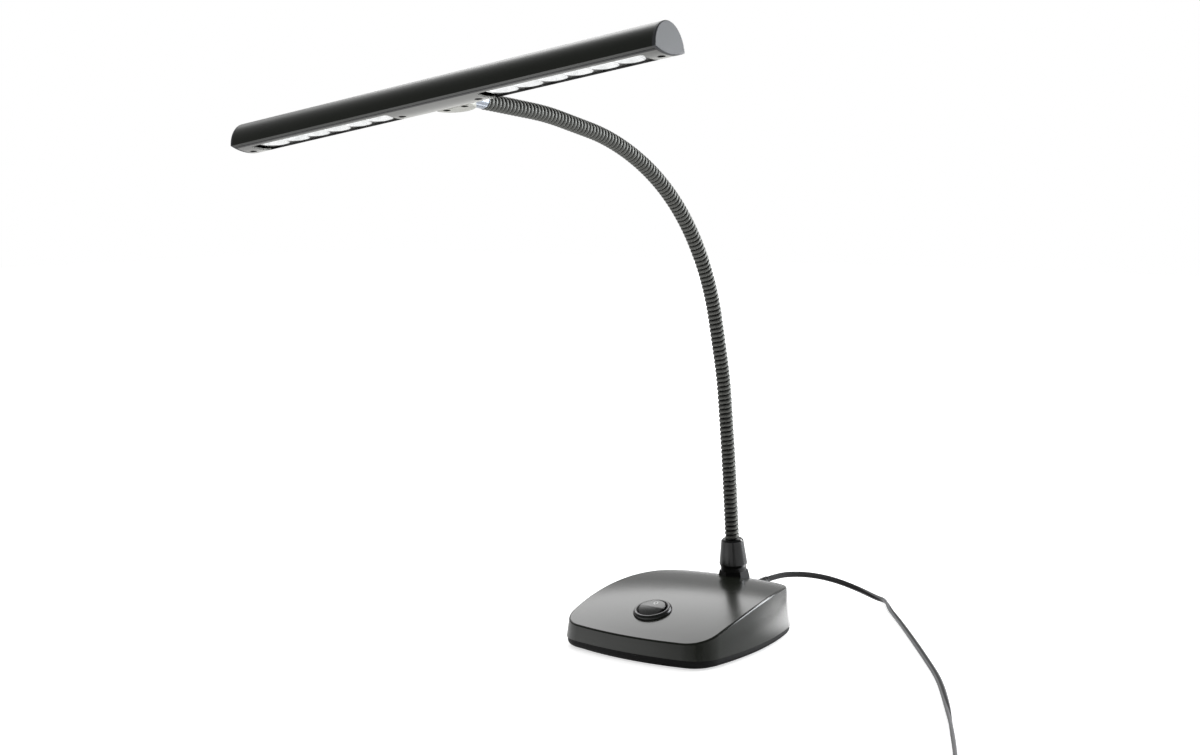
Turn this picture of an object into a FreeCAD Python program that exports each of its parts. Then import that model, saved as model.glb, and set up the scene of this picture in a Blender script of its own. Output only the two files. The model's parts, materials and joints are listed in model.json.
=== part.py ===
import FreeCAD, Part
import math
import os
from FreeCAD import Placement, Rotation, Vector

# A piano lamp: a weighted base with a rocker switch, a flexible neck and a long light bar.
# Millimetres. X runs along the light bar, -Y is the player's side, +Z is up.
# The origin is the middle of the base's footprint, on the piano.

SIZES = {
    # base, seen from above: four bowed sides with rounded corners
    "base_half_width": 44.5,
    "base_half_depth": 60.75,
    "base_taper": 0.14,
    "front_bow": 6.6,
    "side_bow": 8.9,
    "back_bow": 2.8,
    "front_corner_radius": 18.6,
    "back_corner_radius": 34.0,
    "wall_draft": 0.095,
    # base, seen from the side: a low front edge, a crest and a falling back
    "front_edge_height": 14.45,
    "front_pull_height": 29.85,
    "back_pull_height": 37.05,
    "back_edge_height": 24.15,
    "top_crown": 1.6,
    "top_edge_round": 1.2,
    "cover_wall": 2.4,
    "fit_play": 0.1,
    "screw_play": 0.2,
    "turning_play": 0.05,
    "seam_height": 5.8,
    # tray, pad and ballast
    "pad_thickness": 1.2,
    "pad_inset": 5.0,
    "tray_inset": 0.5,
    "tray_floor": 2.4,
    "tray_rim": 2.4,
    "tray_edge_round": 2.6,
    "ballast_width": 62.0,
    "ballast_depth": 57.0,
    "ballast_thickness": 12.0,
    "ballast_corner": 6.0,
    "ballast_front": -20.0,
    "screw_radius": 1.5,
    "screw_head_radius": 2.9,
    "screw_head_height": 1.4,
    "tray_screw_length": 9.3,
    "ballast_screw_bite": 1.9,
    "boss_radius": 3.6,
    "boss_pilot_top": 13.9,
    "boss_overlap": 0.4,
    "boss_front_side_margin": 9.9,
    "boss_front_margin": 17.9,
    "boss_back_side_margin": 15.9,
    "boss_back_margin": 14.9,
    "ballast_screw_x": 24.0,
    "ballast_screw_y": 10.0,
    # rocker switch
    "switch_margin": 22.45,
    "switch_seat": 0.3,
    "bezel_radius": 11.5,
    "bezel_height": 2.4,
    "bezel_round": 1.3,
    "switch_opening": 8.4,
    "switch_body_radius": 9.9,
    "switch_body_depth": 13.0,
    "switch_well_depth": 7.0,
    "rocker_play": 0.15,
    "rocker_pivot_height": 0.8,
    "rocker_top": 1.9,
    "rocker_tilt": 8.0,
    "rocker_depth": 4.0,
    "trunnion_radius": 1.2,
    "trunnion_reach": 9.2,
    "terminal_width": 4.8,
    "terminal_thickness": 0.8,
    "terminal_length": 6.0,
    "terminal_place": 4.5,
    # neck foot
    "neck_margin": 11.45,
    "neck_seat": 0.3,
    "neck_seat_radius": 10.1,
    "flange_foot_radius": 9.7,
    "flange_top_radius": 8.7,
    "flange_height": 4.6,
    "collar_foot_radius": 8.05,
    "collar_waist_radius": 7.85,
    "collar_wide_radius": 8.65,
    "collar_top_radius": 6.9,
    "collar_chamfer": 1.0,
    "collar_waist_top": 7.0,
    "collar_wide_height": 8.9,
    "collar_height": 24.4,
    "nipple_radius": 4.0,
    "nipple_bore_radius": 2.0,
    "nipple_reach": 17.0,
    "nipple_drop": 10.2,
    "neck_boss_radius": 9.4,
    "neck_boss_drop": 5.5,
    "washer_radius": 6.8,
    "washer_thickness": 1.0,
    "lock_nut_radius": 6.4,
    "lock_nut_height": 3.2,
    # neck
    "neck_length": 404.0,
    "neck_sections": 16,
    "neck_radius": 4.0,
    "rib_depth": 0.7,
    "ribs_per_section": 9,
    "neck_core_radius": 3.0,
    "neck_spigot": 6.0,
    "joint_ball_radius": 5.0,
    "joint_gap": 0.1,
    "bore_radius": 1.6,
    "lead_radius": 1.3,
    "head_lead_radius": 1.0,
    "neck_lean": 4.21,
    "neck_drift": -0.0523,
    "neck_curl": 109.58,
    "curl_place": 197.73,
    "curl_run_in": 98.67,
    "curl_run_out": 144.5,
    # ferrule and swivel
    "ferrule_radius": 4.05,
    "ferrule_length": 12.0,
    "ferrule_edge": 0.4,
    "ferrule_rest": 0.5,
    "swivel_gap": 0.3,
    "stud_radius": 2.5,
    "stud_play": 0.06,
    "stud_short": 5.0,
    "stud_past_clip": 1.0,
    "clip_radius": 3.9,
    "clip_thickness": 1.2,
    "axle_height": 5.8,
    # light bar
    "bar_tilt": 8.85,
    "bar_length": 273.0,
    "bar_width": 23.5,
    "bar_height": 13.2,
    "bar_belly": 2.3,
    "bar_wall": 1.2,
    "lip_width": 1.85,
    "web_top": 4.7,
    "cap_thickness": 1.6,
    "cap_plug_depth": 3.0,
    "cap_play": 0.15,
    "cap_round": 0.5,
    "plate_thickness": 1.0,
    "plate_gap": 0.3,
    "window_inner_end": 29.0,
    "window_outer_margin": 10.5,
    "window_width": 14.0,
    "window_corner": 1.5,
    "plate_screw_inner": 24.7,
    "plate_screw_margin": 4.9,
    "plate_hole_radius": 2.0,
    "plate_screw_radius": 1.0,
    "plate_head_radius": 1.8,
    "plate_head_height": 0.6,
    # hub on the bar's back
    "hub_radius": 10.75,
    "hub_place": 11.0,
    "hub_foot": -0.9,
    "hub_top": 11.0,
    "hub_round": 1.6,
    "hub_foot_round": 0.6,
    "hub_screw_place": 5.85,
    "hub_screw_back": 11.9,
    "hub_screw_length": 9.5,
    "web_screw_place": 6.5,
    "web_screw_back": 6.0,
    "web_screw_length": 5.0,
    "web_pilot_top": 9.0,
    "clip_room": 0.6,
    "clip_room_front": 3.0,
    # lamps
    "board_play": 2.0,
    "lead_landing": 3.0,
    "board_width": 16.0,
    "board_thickness": 1.2,
    "lamp_count": 6,
    "cell_margin": 1.1,
    "chip_size": 3.5,
    "chip_height": 1.0,
    "reflector_width": 13.4,
    "reflector_play": 3.0,
    "reflector_rim": -0.4,
    "cup_radius": 6.4,
    "cup_floor_radius": 2.7,
    # supply lead, coil and adapter
    "cord_radius": 1.6,
    "relief_root_side": 4.6,
    "relief_root_height": 19.45,
    "relief_stand_in": 0.1,
    "relief_climb": 10.6,
    "relief_aside": 5.4,
    "relief_hole_radius": 2.9,
    "relief_length": 16.0,
    "relief_tip_radius": 2.2,
    "relief_flange_radius": 4.3,
    "relief_flange": 1.4,
    "coil_middle_radius": 16.8,
    "coil_width": 9.8,
    "coil_height": 13.0,
    "adapter_length": 60.0,
    "adapter_width": 38.0,
    "adapter_height": 22.0,
    "adapter_corner": 3.0,
    "adapter_sleeve_tip": 2.1,
    "adapter_sleeve_root": 3.4,
    "prong_length": 16.0,
    "prong_width": 6.3,
    "prong_thickness": 1.5,
    "prong_spacing": 12.7,
    "inner_lead_radius": 1.1,
}

doc = FreeCAD.newDocument("PianoLamp")
sheet = doc.addObject("Spreadsheet::Sheet", "sizes")
for row, (alias, value) in enumerate(SIZES.items(), start=1):
    sheet.set(f"A{row}", alias)
    sheet.set(f"B{row}", str(value))
    sheet.setAlias(f"B{row}", alias)
doc.recompute()

X_AXIS = Vector(1, 0, 0)
Y_AXIS = Vector(0, 1, 0)
Z_AXIS = Vector(0, 0, 1)
FAR = 400.0  # longer than any cut needs to be
finished = []


def size(alias):
    """The number in the sheet's cell with that alias."""
    return float(sheet.get(alias))


def turned(angle, axis=X_AXIS):
    return Rotation(axis, angle)


def at(x, y, z, rotation=None):
    return Placement(Vector(x, y, z), rotation or Rotation())


def primitive(kind, name, place=None, **formulas):
    """A Part primitive whose sizes follow the sheet."""
    item = doc.addObject("Part::" + kind, name)
    for prop, formula in formulas.items():
        item.setExpression(prop, formula)
    item.Placement = place or Placement()
    return item


def cylinder(name, place, radius, height):
    return primitive("Cylinder", name, place, Radius=radius, Height=height)


def box(name, place, length, width, height):
    return primitive("Box", name, place, Length=length, Width=width, Height=height)


def group(kind, name, members, prop="Shapes"):
    item = doc.addObject("Part::" + kind, name)
    setattr(item, prop, members)
    return item


def fused(name, *members):
    return members[0] if len(members) == 1 else group("MultiFuse", name, list(members))


def cut(name, base, *tools):
    item = doc.addObject("Part::Cut", name)
    item.Base = base
    item.Tool = fused(name + "_cutters", *tools)
    return item


def common(name, *members):
    return group("MultiCommon", name, list(members))


def assembled(name, *members):
    return group("Compound", name, list(members), "Links")


def shaped(name, shape):
    """A Part::Feature for a form that no primitive makes."""
    item = doc.addObject("Part::Feature", name)
    item.Shape = shape
    return item


def revolved(name, profile, place=None):
    """A closed (radius, height) profile turned about Z."""
    points = [Vector(radius, 0, height) for radius, height in profile]
    outline = shaped(name + "_profile", Part.Face(Part.makePolygon(points + points[:1])))
    item = doc.addObject("Part::Revolution", name)
    item.Source = outline
    item.Axis = Z_AXIS
    item.Angle = 360.0
    item.Placement = place or Placement()
    return item


def ring(inner, outer, low, high):
    """The profile of a plain ring or tube."""
    return [(inner, low), (outer, low), (outer, high), (inner, high)]


def extruded(name, face, length, direction=X_AXIS, both_ways=True):
    """A flat face pushed along a direction by a length from the sheet."""
    item = doc.addObject("Part::Extrusion", name)
    item.Base = shaped(name + "_section", face)
    item.DirMode = "Custom"
    item.Dir = direction
    item.Solid = True
    item.Symmetric = both_ways
    item.setExpression("LengthFwd", length)
    return item


def rounded(name, base, radius, wanted):
    """A fillet on each edge of the base that wanted() picks."""
    doc.recompute()
    item = doc.addObject("Part::Fillet", name)
    item.Base = base
    item.Edges = [(i, radius, radius) for i, edge in enumerate(base.Shape.Edges, start=1) if wanted(edge)]
    return item


def is_upright(edge):
    return edge.tangentAt(edge.FirstParameter).cross(Z_AXIS).Length < 0.1


def upright_fillet(name, base, radius):
    return rounded(name, base, radius, is_upright)


def across_face(outline):
    """A flat face across X from its (y, z) corners."""
    corners = [Vector(0, y, z) for y, z in outline]
    return Part.Face(Part.makePolygon(corners + corners[:1]))


def finish(item, label, place=None):
    """Marks a sub-part as complete. Its label names its file."""
    item.Label = label
    if place:
        item.Placement = place
    finished.append(item)
    return item


# ---------------------------------------------------------------- base: the forms that pieces share


def base_outline(inset, height):
    """The base seen from above: four arcs, each side bowed outwards, without the corner rounds."""
    half_width = size("base_half_width") - inset
    half_depth = size("base_half_depth") - inset
    front = half_width * (1 + size("base_taper"))
    back = half_width * (1 - size("base_taper"))
    corners = [
        Vector(-front, -half_depth, height),
        Vector(front, -half_depth, height),
        Vector(back, half_depth, height),
        Vector(-back, half_depth, height),
    ]
    bows = [size("front_bow"), size("side_bow"), size("back_bow"), size("side_bow")]
    edges = []
    for start, end, bow in zip(corners, corners[1:] + corners[:1], bows):
        along = end - start
        outwards = Vector(along.y, -along.x, 0).normalize()
        middle = (start + end) * 0.5 + outwards * bow
        edges.append(Part.Arc(start, middle, end).toShape())
    return Part.Wire(edges)


def base_block(inset, low, high, draft):
    """A drafted block on the base's outline, with its upright corners rounded."""
    lean = draft * (high - low)
    block = Part.makeLoft([base_outline(inset, low), base_outline(inset + lean, high)], True, True)
    upright = [e for e in block.Edges if abs(e.Vertexes[0].Z - e.Vertexes[-1].Z) > 0.5 * (high - low)]
    front = [e for e in upright if e.CenterOfMass.y < 0]
    back = [e.CenterOfMass for e in upright if e.CenterOfMass.y > 0]
    block = block.makeFillet(size("front_corner_radius") - inset, front)
    still_sharp = [e for e in block.Edges if min(e.CenterOfMass.distanceToPoint(p) for p in back) < 0.01]
    return block.makeFillet(size("back_corner_radius") - inset, still_sharp)


REACH = size("base_half_depth") + size("back_bow")  # how far the side profile runs, each way
PULLS = [
    size("front_edge_height"),
    size("front_pull_height"),
    size("back_pull_height"),
    size("back_edge_height"),
]


def blossom(first, second, third):
    """The side profile's polar form: a cubic curve through the four pull heights."""
    heights = list(PULLS)
    for t in (first, second, third):
        heights = [a * (1 - t) + b * t for a, b in zip(heights, heights[1:])]
    return heights[0]


def profile_height(y):
    t = (y + REACH) / (2 * REACH)
    return blossom(t, t, t)


def profile_slope(y):
    """Degrees by which the top climbs towards +Y."""
    step = 0.01
    return math.degrees(math.atan2(profile_height(y + step) - profile_height(y - step), 2 * step))


def top_height(x, y):
    crown = size("top_crown") * (1 - (x / size("base_half_width")) ** 2)
    return profile_height(y) + crown


def under_top(drop):
    """Everything below the crowned top surface, lowered by drop."""
    over = 0.1  # the surface runs past the outline by this share at each end
    low, high = -over, 1 + over
    rows = [blossom(*args) for args in ((low,) * 3, (low, low, high), (low, high, high), (high,) * 3)]
    span = size("base_half_width") * 1.4
    fall = size("top_crown") * 1.4**2
    crown = [size("top_crown") - fall, size("top_crown") + fall, size("top_crown") - fall]
    poles = []
    for index, height in enumerate(rows):
        y = REACH * (2 * (low + (high - low) * index / 3) - 1)
        poles.append([Vector((column - 1) * span, y, height + crown[column] - drop) for column in range(3)])
    top = Part.BSplineSurface()
    top.buildFromPolesMultsKnots(poles, [4, 4], [3, 3], [0, 1], [0, 1], False, False, 3, 2)
    return top.toShape().extrude(Vector(0, 0, -FAR))


def rounded_top(solid, radius):
    """The block with the rim of its top surface rounded."""
    top = max(solid.Faces, key=lambda face: face.CenterOfMass.z)
    return solid.makeFillet(radius, top.OuterWire.Edges)


def seat_frame(y, sink):
    """A frame that lies on the base's top at x = 0, with its Z square to the surface."""
    tilt = turned(profile_slope(y))
    return Placement(Vector(0, y, top_height(0, y)) - tilt.multVec(Z_AXIS) * sink, tilt)


# ---------------------------------------------------------------- frames that pieces share

SECTION = size("neck_length") / size("neck_sections")
COUNT = int(size("neck_sections"))
SWAY_JOINTS = (1, 3, 5, 13, 15)  # these joints swing sideways, all others bend in the lamp's plane


def heading(place):
    """Degrees from upright at a distance along the neck: a slow drift and one soft curl."""
    run_in, run_out = size("curl_run_in"), size("curl_run_out")
    past = place - size("curl_place")
    run = run_in if past < 0 else run_out
    curl = (run * math.tanh(past / run) + run_in) / (run_in + run_out)
    return size("neck_lean") + size("neck_drift") * place + size("neck_curl") * curl


def section_headings():
    """One heading for each section. The two sections beside a sway joint share theirs."""
    headings = {}
    for index in range(1, COUNT + 1):
        if index - 1 in SWAY_JOINTS:
            headings[index] = headings[index - 1]
        else:
            length = 2 if index in SWAY_JOINTS else 1
            headings[index] = heading(SECTION * (index - 1 + length / 2))
    return headings


SWITCH = seat_frame(size("switch_margin") - size("base_half_depth"), size("switch_seat"))
NECK_SEAT = seat_frame(size("base_half_depth") - size("neck_margin"), size("neck_seat"))
NECK_FOOT = Placement(NECK_SEAT.Base, turned(section_headings()[1]))
TRAY_TOP = size("pad_thickness") + size("tray_floor")


def boss_place(end, side):
    """The middle of a screw boss. end is "front" or "back", side is -1 or 1."""
    y = size("base_half_depth") - size(f"boss_{end}_margin")
    return side * (size("base_half_width") - size(f"boss_{end}_side_margin")), y if end == "back" else -y


BOSSES = [boss_place(end, side) for end in ("front", "back") for side in (-1, 1)]
BALLAST_SCREWS = [(side * size("ballast_screw_x"), size("ballast_screw_y")) for side in (-1, 1)]

# The supply lead leaves through the back wall, climbing a little.
RELIEF_IN = size("relief_stand_in")
RELIEF_RISE = size("relief_root_height") - size("seam_height")
BACK_WALL = REACH - size("wall_draft") * RELIEF_RISE - size("cover_wall")  # its inner face there
RELIEF_ROOT = Vector(size("relief_root_side"), BACK_WALL - RELIEF_IN, size("relief_root_height"))
RELIEF_WAY = turned(size("relief_climb")).multVec(Y_AXIS)
RELIEF_WAY = turned(-size("relief_aside"), Z_AXIS).multVec(RELIEF_WAY)
RELIEF = Placement(RELIEF_ROOT, Rotation(Z_AXIS, RELIEF_WAY))
RELIEF_WALL = size("cover_wall") + RELIEF_IN  # the part that lies in the back wall
RELIEF_REACH = RELIEF_WALL + size("relief_length")
RELIEF_TIP = RELIEF_ROOT + RELIEF_WAY * RELIEF_REACH


# ---------------------------------------------------------------- base


def make_base_cover():
    """The moulded shell: thin walls, screw bosses, a switch hole, a neck hole and a lead hole."""
    seam, wall = size("seam_height"), size("cover_wall")
    peak = max(PULLS)
    outer = base_block(0, seam, peak, size("wall_draft")).common(under_top(0))
    outer = rounded_top(outer.Solids[0], size("top_edge_round"))
    inner = base_block(wall, seam - 1, peak, size("wall_draft")).common(under_top(wall))
    outside = shaped("cover_outside", outer)
    shell = cut("cover_shell", outside, shaped("cover_inside", inner.Solids[0]))
    posts = [
        cylinder(f"cover_post_{i}", at(x, y, TRAY_TOP), "sizes.boss_radius", "sizes.back_pull_height")
        for i, (x, y) in enumerate(BOSSES)
    ]
    neck_boss = cylinder(
        "cover_neck_boss",
        NECK_FOOT * at(0, 0, -size("neck_boss_drop")),
        "sizes.neck_boss_radius",
        "2 * sizes.neck_boss_drop",
    )
    within = common("cover_bosses", fused("cover_posts", neck_boss, *posts), make_inner_limit())
    pilots = [
        cylinder(f"cover_pilot_{i}", at(x, y, 0), "sizes.screw_radius", "sizes.boss_pilot_top")
        for i, (x, y) in enumerate(BOSSES)
    ]
    holes = [
        cylinder("switch_seat_cut", SWITCH, "sizes.bezel_radius + sizes.fit_play", "2 * sizes.bezel_height"),
        cylinder(
            "switch_hole",
            SWITCH * at(0, 0, -size("switch_body_depth")),
            "sizes.switch_body_radius + sizes.fit_play",
            "2 * sizes.switch_body_depth",
        ),
        cylinder("neck_seat_cut", NECK_SEAT, "sizes.neck_seat_radius", "sizes.flange_height"),
        cylinder(
            "neck_hole",
            NECK_FOOT * at(0, 0, -2 * size("neck_boss_drop")),
            "sizes.nipple_radius + sizes.fit_play",
            "4 * sizes.neck_boss_drop",
        ),
        cylinder("lead_hole", RELIEF, "sizes.relief_hole_radius", "sizes.relief_length"),
        cylinder(
            "lead_seat",
            RELIEF * at(0, 0, RELIEF_WALL),
            "sizes.relief_flange_radius + sizes.fit_play",
            "sizes.relief_length",
        ),
    ]
    finish(cut("cover_part", fused("cover_solid", shell, within), *pilots, *holes), "base_cover")


def make_inner_limit():
    """The room inside the cover, a hair into its walls, that the bosses are trimmed to."""
    inset = size("cover_wall") - size("boss_overlap")
    room = base_block(inset, TRAY_TOP, max(PULLS), size("wall_draft")).common(under_top(inset))
    return shaped("cover_room", room.Solids[0])


def make_base_tray():
    """The tray under the cover: a floor with a rim that the cover stands on."""
    inset, foot = size("tray_inset"), size("pad_thickness")
    block = base_block(inset, foot, size("seam_height"), 0)
    sole = min(block.Faces, key=lambda face: face.CenterOfMass.z)
    block = block.makeFillet(size("tray_edge_round"), sole.OuterWire.Edges)
    hollow = base_block(inset + size("tray_rim"), TRAY_TOP, size("seam_height") + 1, 0)
    dish = cut("tray_dish", shaped("tray_outside", block), shaped("tray_inside", hollow))
    holes = []
    for i, (x, y) in enumerate(BOSSES):
        through = "sizes.screw_radius + sizes.screw_play"
        holes.append(cylinder(f"tray_hole_{i}", at(x, y, 0), through, "sizes.seam_height"))
        recess = "sizes.screw_head_radius + sizes.screw_play"
        deep = "sizes.pad_thickness + sizes.screw_head_height"
        holes.append(cylinder(f"tray_recess_{i}", at(x, y, 0), recess, deep))
    for i, (x, y) in enumerate(BALLAST_SCREWS):
        holes.append(cylinder(f"tray_pilot_{i}", at(x, y, 0), "sizes.screw_radius", "sizes.seam_height"))
    finish(cut("tray_part", dish, *holes), "base_tray")


def screw(name, place, radius, length, head_radius, head_height):
    """A pan-head screw along Z: its head hangs below the place, its shank goes up from it."""
    shank = cylinder(name + "_shank", place, radius, length)
    head = cylinder(name + "_head", place * at(0, 0, 0, turned(180)), head_radius, head_height)
    return fused(name, shank, head)


def make_base_small_parts():
    """The pad that protects the piano, the steel ballast and the screws."""
    pad = base_block(size("pad_inset"), 0, size("pad_thickness"), 0)
    finish(shaped("pad_solid", pad), "base_pad")
    heads = size("pad_thickness") + size("screw_head_height")
    screws = [
        screw(
            f"tray_screw_{i}",
            at(x, y, heads),
            "sizes.screw_radius",
            "sizes.tray_screw_length",
            "sizes.screw_head_radius",
            "sizes.screw_head_height",
        )
        for i, (x, y) in enumerate(BOSSES)
    ]
    finish(assembled("tray_screw_set", *screws), "tray_screws")
    slab = box(
        "ballast_slab",
        at(-size("ballast_width") / 2, size("ballast_front"), TRAY_TOP),
        "sizes.ballast_width",
        "sizes.ballast_depth",
        "sizes.ballast_thickness",
    )
    corners = upright_fillet("ballast_corners", slab, size("ballast_corner"))
    through = "sizes.screw_radius + sizes.screw_play"
    holes = [
        cylinder(f"ballast_hole_{i}", at(x, y, 0), through, "3 * sizes.ballast_thickness")
        for i, (x, y) in enumerate(BALLAST_SCREWS)
    ]
    finish(cut("ballast_part", corners, *holes), "ballast_plate")
    ballast_top = TRAY_TOP + size("ballast_thickness")
    holders = [
        screw(
            f"ballast_screw_{i}",
            at(x, y, ballast_top, turned(180)),
            "sizes.screw_radius",
            "sizes.ballast_thickness + sizes.ballast_screw_bite",
            "sizes.screw_head_radius",
            "sizes.screw_head_height",
        )
        for i, (x, y) in enumerate(BALLAST_SCREWS)
    ]
    finish(assembled("ballast_screw_set", *holders), "ballast_screws")


# ---------------------------------------------------------------- switch

PIVOT = SWITCH * at(0, 0, size("rocker_pivot_height"))


def make_switch():
    """A round rocker switch: bezel with its housing, rocker on trunnions, two terminals."""
    edge = size("bezel_round")
    rim, top = size("bezel_radius"), size("bezel_height")
    arc_point = (rim - edge * (1 - math.cos(math.pi / 4)), top - edge * (1 - math.sin(math.pi / 4)))
    profile = [(0, 0), (rim, 0), (rim, top - edge), arc_point, (rim - edge, top), (0, top)]
    bezel = revolved("bezel_ring", profile, SWITCH)
    depth = at(0, 0, -size("switch_body_depth"))
    housing = cylinder("switch_barrel", SWITCH * depth, "sizes.switch_body_radius", "sizes.switch_body_depth")
    well = cylinder(
        "switch_well",
        SWITCH * at(0, 0, -size("switch_well_depth")),
        "sizes.switch_opening",
        "sizes.switch_well_depth + 2 * sizes.bezel_height",
    )
    across = PIVOT * at(-size("trunnion_reach") - size("screw_play"), 0, 0, Rotation(Y_AXIS, 90))
    socket_length = "2 * (sizes.trunnion_reach + sizes.screw_play)"
    socket_radius = "sizes.trunnion_radius + sizes.turning_play"
    sockets = cylinder("switch_sockets", across, socket_radius, socket_length)
    finish(cut("switch_solid", fused("switch_outside", bezel, housing), well, sockets), "switch_body")

    reach, deep = size("switch_opening"), size("rocker_depth")
    middle = size("rocker_top")
    low_edge = middle - reach * math.tan(math.radians(size("rocker_tilt")))
    side = [(-reach, -deep), (reach, -deep), (reach, low_edge), (0, middle), (-reach, low_edge)]
    wedge = extruded("rocker_wedge", across_face(side), "3 * sizes.switch_opening")
    ball = primitive("Sphere", "rocker_ball", Radius="sizes.switch_opening - sizes.rocker_play")
    pins = cylinder(
        "rocker_trunnions",
        at(-size("trunnion_reach"), 0, 0, Rotation(Y_AXIS, 90)),
        "sizes.trunnion_radius",
        "2 * sizes.trunnion_reach",
    )
    rocker = fused("rocker_solid", common("rocker_paddle", wedge, ball), pins)
    finish(rocker, "switch_rocker", PIVOT * at(0, 0, 0, turned(size("rocker_tilt"))))

    blades = [
        box(
            f"terminal_{i}",
            SWITCH * terminal_frame(side) * at(-size("terminal_width") / 2, -size("terminal_thickness"), 0),
            "sizes.terminal_width",
            "sizes.terminal_thickness",
            "sizes.terminal_length",
        )
        for i, side in enumerate((-1, 1))
    ]
    finish(assembled("terminal_pair", *blades), "switch_terminals")


def terminal_frame(side):
    """The lower end of a terminal, on its rear face, in the switch's frame."""
    low = -size("switch_body_depth") - size("terminal_length")
    return at(side * size("terminal_place"), size("terminal_thickness") / 2, low)


# ---------------------------------------------------------------- cords: straight runs joined by tangent arcs


def rounded_route(points):
    """A wire through the points' runs, with an arc at each inner point, and the smallest radius."""
    runs = [b - a for a, b in zip(points, points[1:])]
    edges, radii, last = [], [], points[0]
    for corner, before, after in zip(points[1:-1], runs, runs[1:]):
        half_turn = before.getAngle(after) / 2
        trim = 0.45 * min(before.Length, after.Length)
        radii.append(trim / math.tan(half_turn))
        start = corner - before * (trim / before.Length)
        end = corner + after * (trim / after.Length)
        inwards = (after * (1 / after.Length) - before * (1 / before.Length)).normalize()
        middle = corner + inwards * (radii[-1] / math.cos(half_turn) - radii[-1])
        edges.append(Part.LineSegment(last, start).toShape())
        edges.append(Part.Arc(start, middle, end).toShape())
        last = end
    edges.append(Part.LineSegment(last, points[-1]).toShape())
    return Part.Wire(edges), min(radii, default=math.inf)


def tube(name, points, radius):
    """A round tube along a rounded route. Prints its length, its tightest bend and its volume's error."""
    wire, tightest = rounded_route(points)
    circle = Part.Circle(points[0], (points[1] - points[0]).normalize(), radius).toShape()
    solid = wire.makePipeShell([Part.Wire([circle])], True, True)
    ideal = math.pi * radius**2 * wire.Length
    error = solid.Volume / ideal - 1
    print(f"{name}: {wire.Length:.1f} long, tightest bend {tightest:.1f}, volume off by {error:+.4%}")
    return shaped(name, solid)


def make_inner_leads():
    """The two leads inside the base: relief to switch, and switch to the neck."""
    radius = size("inner_lead_radius")
    over_ballast = TRAY_TOP + size("ballast_thickness") + radius + 0.3
    ends = []
    for side in (-1, 1):
        terminal = SWITCH * terminal_frame(side)
        ends.append([terminal.multVec(Vector(0, reach, 1.5)) for reach in (0, 6.5)])
    (lamp_end, lamp_turn), (supply_end, supply_turn) = ends
    supply = [
        RELIEF_ROOT,
        RELIEF_ROOT - RELIEF_WAY * 1.2,
        Vector(8.6, 54.5, over_ballast + 0.4),
        Vector(14, 43, over_ballast + 0.2),
        Vector(17, 28, over_ballast + 0.3),
        Vector(19, 8, over_ballast + 0.1),
        Vector(16, -10, over_ballast + 0.3),
        Vector(10.5, -24, over_ballast - 0.2),
        supply_turn,
        supply_end,
    ]
    finish(tube("supply_inner_tube", supply, radius), "inner_supply_lead")
    nipple_end = NECK_FOOT.multVec(Vector(0, 0, -size("nipple_drop")))
    lamp = [
        lamp_end,
        lamp_turn,
        Vector(-10.5, -24, over_ballast - 0.2),
        Vector(-16, -10, over_ballast + 0.3),
        Vector(-18, 6, over_ballast + 0.1),
        Vector(-16, 24, over_ballast + 0.3),
        Vector(-11, 40, over_ballast + 0.2),
        Vector(-7, 47.5, over_ballast - 5),
        NECK_FOOT.multVec(Vector(-2.5, -1.5, -size("nipple_drop") - 7)),
        NECK_FOOT.multVec(Vector(0, 0, -size("nipple_drop") - 4.5)),
        nipple_end,
    ]
    finish(tube("lamp_inner_tube", lamp, radius), "inner_lamp_lead")


def make_strain_relief():
    """A grommet through the back wall with a tapered sleeve round the lead."""
    reach, wall, tip = RELIEF_REACH, RELIEF_WALL, size("relief_tip_radius")
    neck, flange = size("relief_hole_radius") - size("turning_play"), size("relief_flange_radius")
    collar_end = wall + size("relief_flange")
    profile = [
        (0, 0),
        (neck, 0),
        (neck, wall),
        (flange, wall),
        (flange, collar_end),
        (neck, collar_end + flange - neck),
        (tip, reach),
        (0, reach),
    ]
    finish(revolved("relief_sleeve", profile, RELIEF), "cord_strain_relief")


# The lead lies behind the base, comes down to the piano and runs forward past its right side.
SUPPLY_ROUTE = [
    RELIEF_TIP,
    Vector(7.6, 90.0, 23.4),
    Vector(10.0, 102.0, 22.5),
    Vector(14.5, 115.0, 20.5),
    Vector(20.1, 128.7, 16.8),
    Vector(26.5, 141.2, 11.7),
    Vector(34.0, 150.7, 6.2),
    Vector(43.3, 154.2, 1.6),
    Vector(53.3, 148.7, 1.6),
    Vector(64.3, 132.7, 1.6),
    Vector(82.3, 110.8, 1.6),
    Vector(108.2, 77.5, 1.6),
    Vector(136.6, 39.9, 1.6),
    Vector(162.6, 4.8, 1.6),
    Vector(185.2, -32.3, 1.6),
    Vector(207.3, -71.9, 1.6),
    Vector(230.3, -113.6, 1.6),
]
COIL_CENTRE = Vector(246.5, -186.5, 0)
COIL_ENTRY_ANGLE = 29.0
COIL_EXIT_ANGLE = -53.0
COIL_EXIT_HEIGHT = 11.35  # the coil's top layer
ADAPTER_SLEEVE = 9.0
ADAPTER_GAP = 21.0  # from where the lead leaves the coil to the adapter's sleeve


def coil_edge(angle, offset=0.0):
    """A point on the coil's outermost turn, and the way a clockwise turn runs there."""
    turn = math.radians(angle)
    radius = size("coil_middle_radius") + size("coil_width") / 2 - size("cord_radius") + offset
    out = Vector(math.cos(turn), math.sin(turn), 0)
    point = COIL_CENTRE + out * radius + Vector(0, 0, size("cord_radius"))
    return point, Vector(out.y, -out.x, 0)


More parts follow.
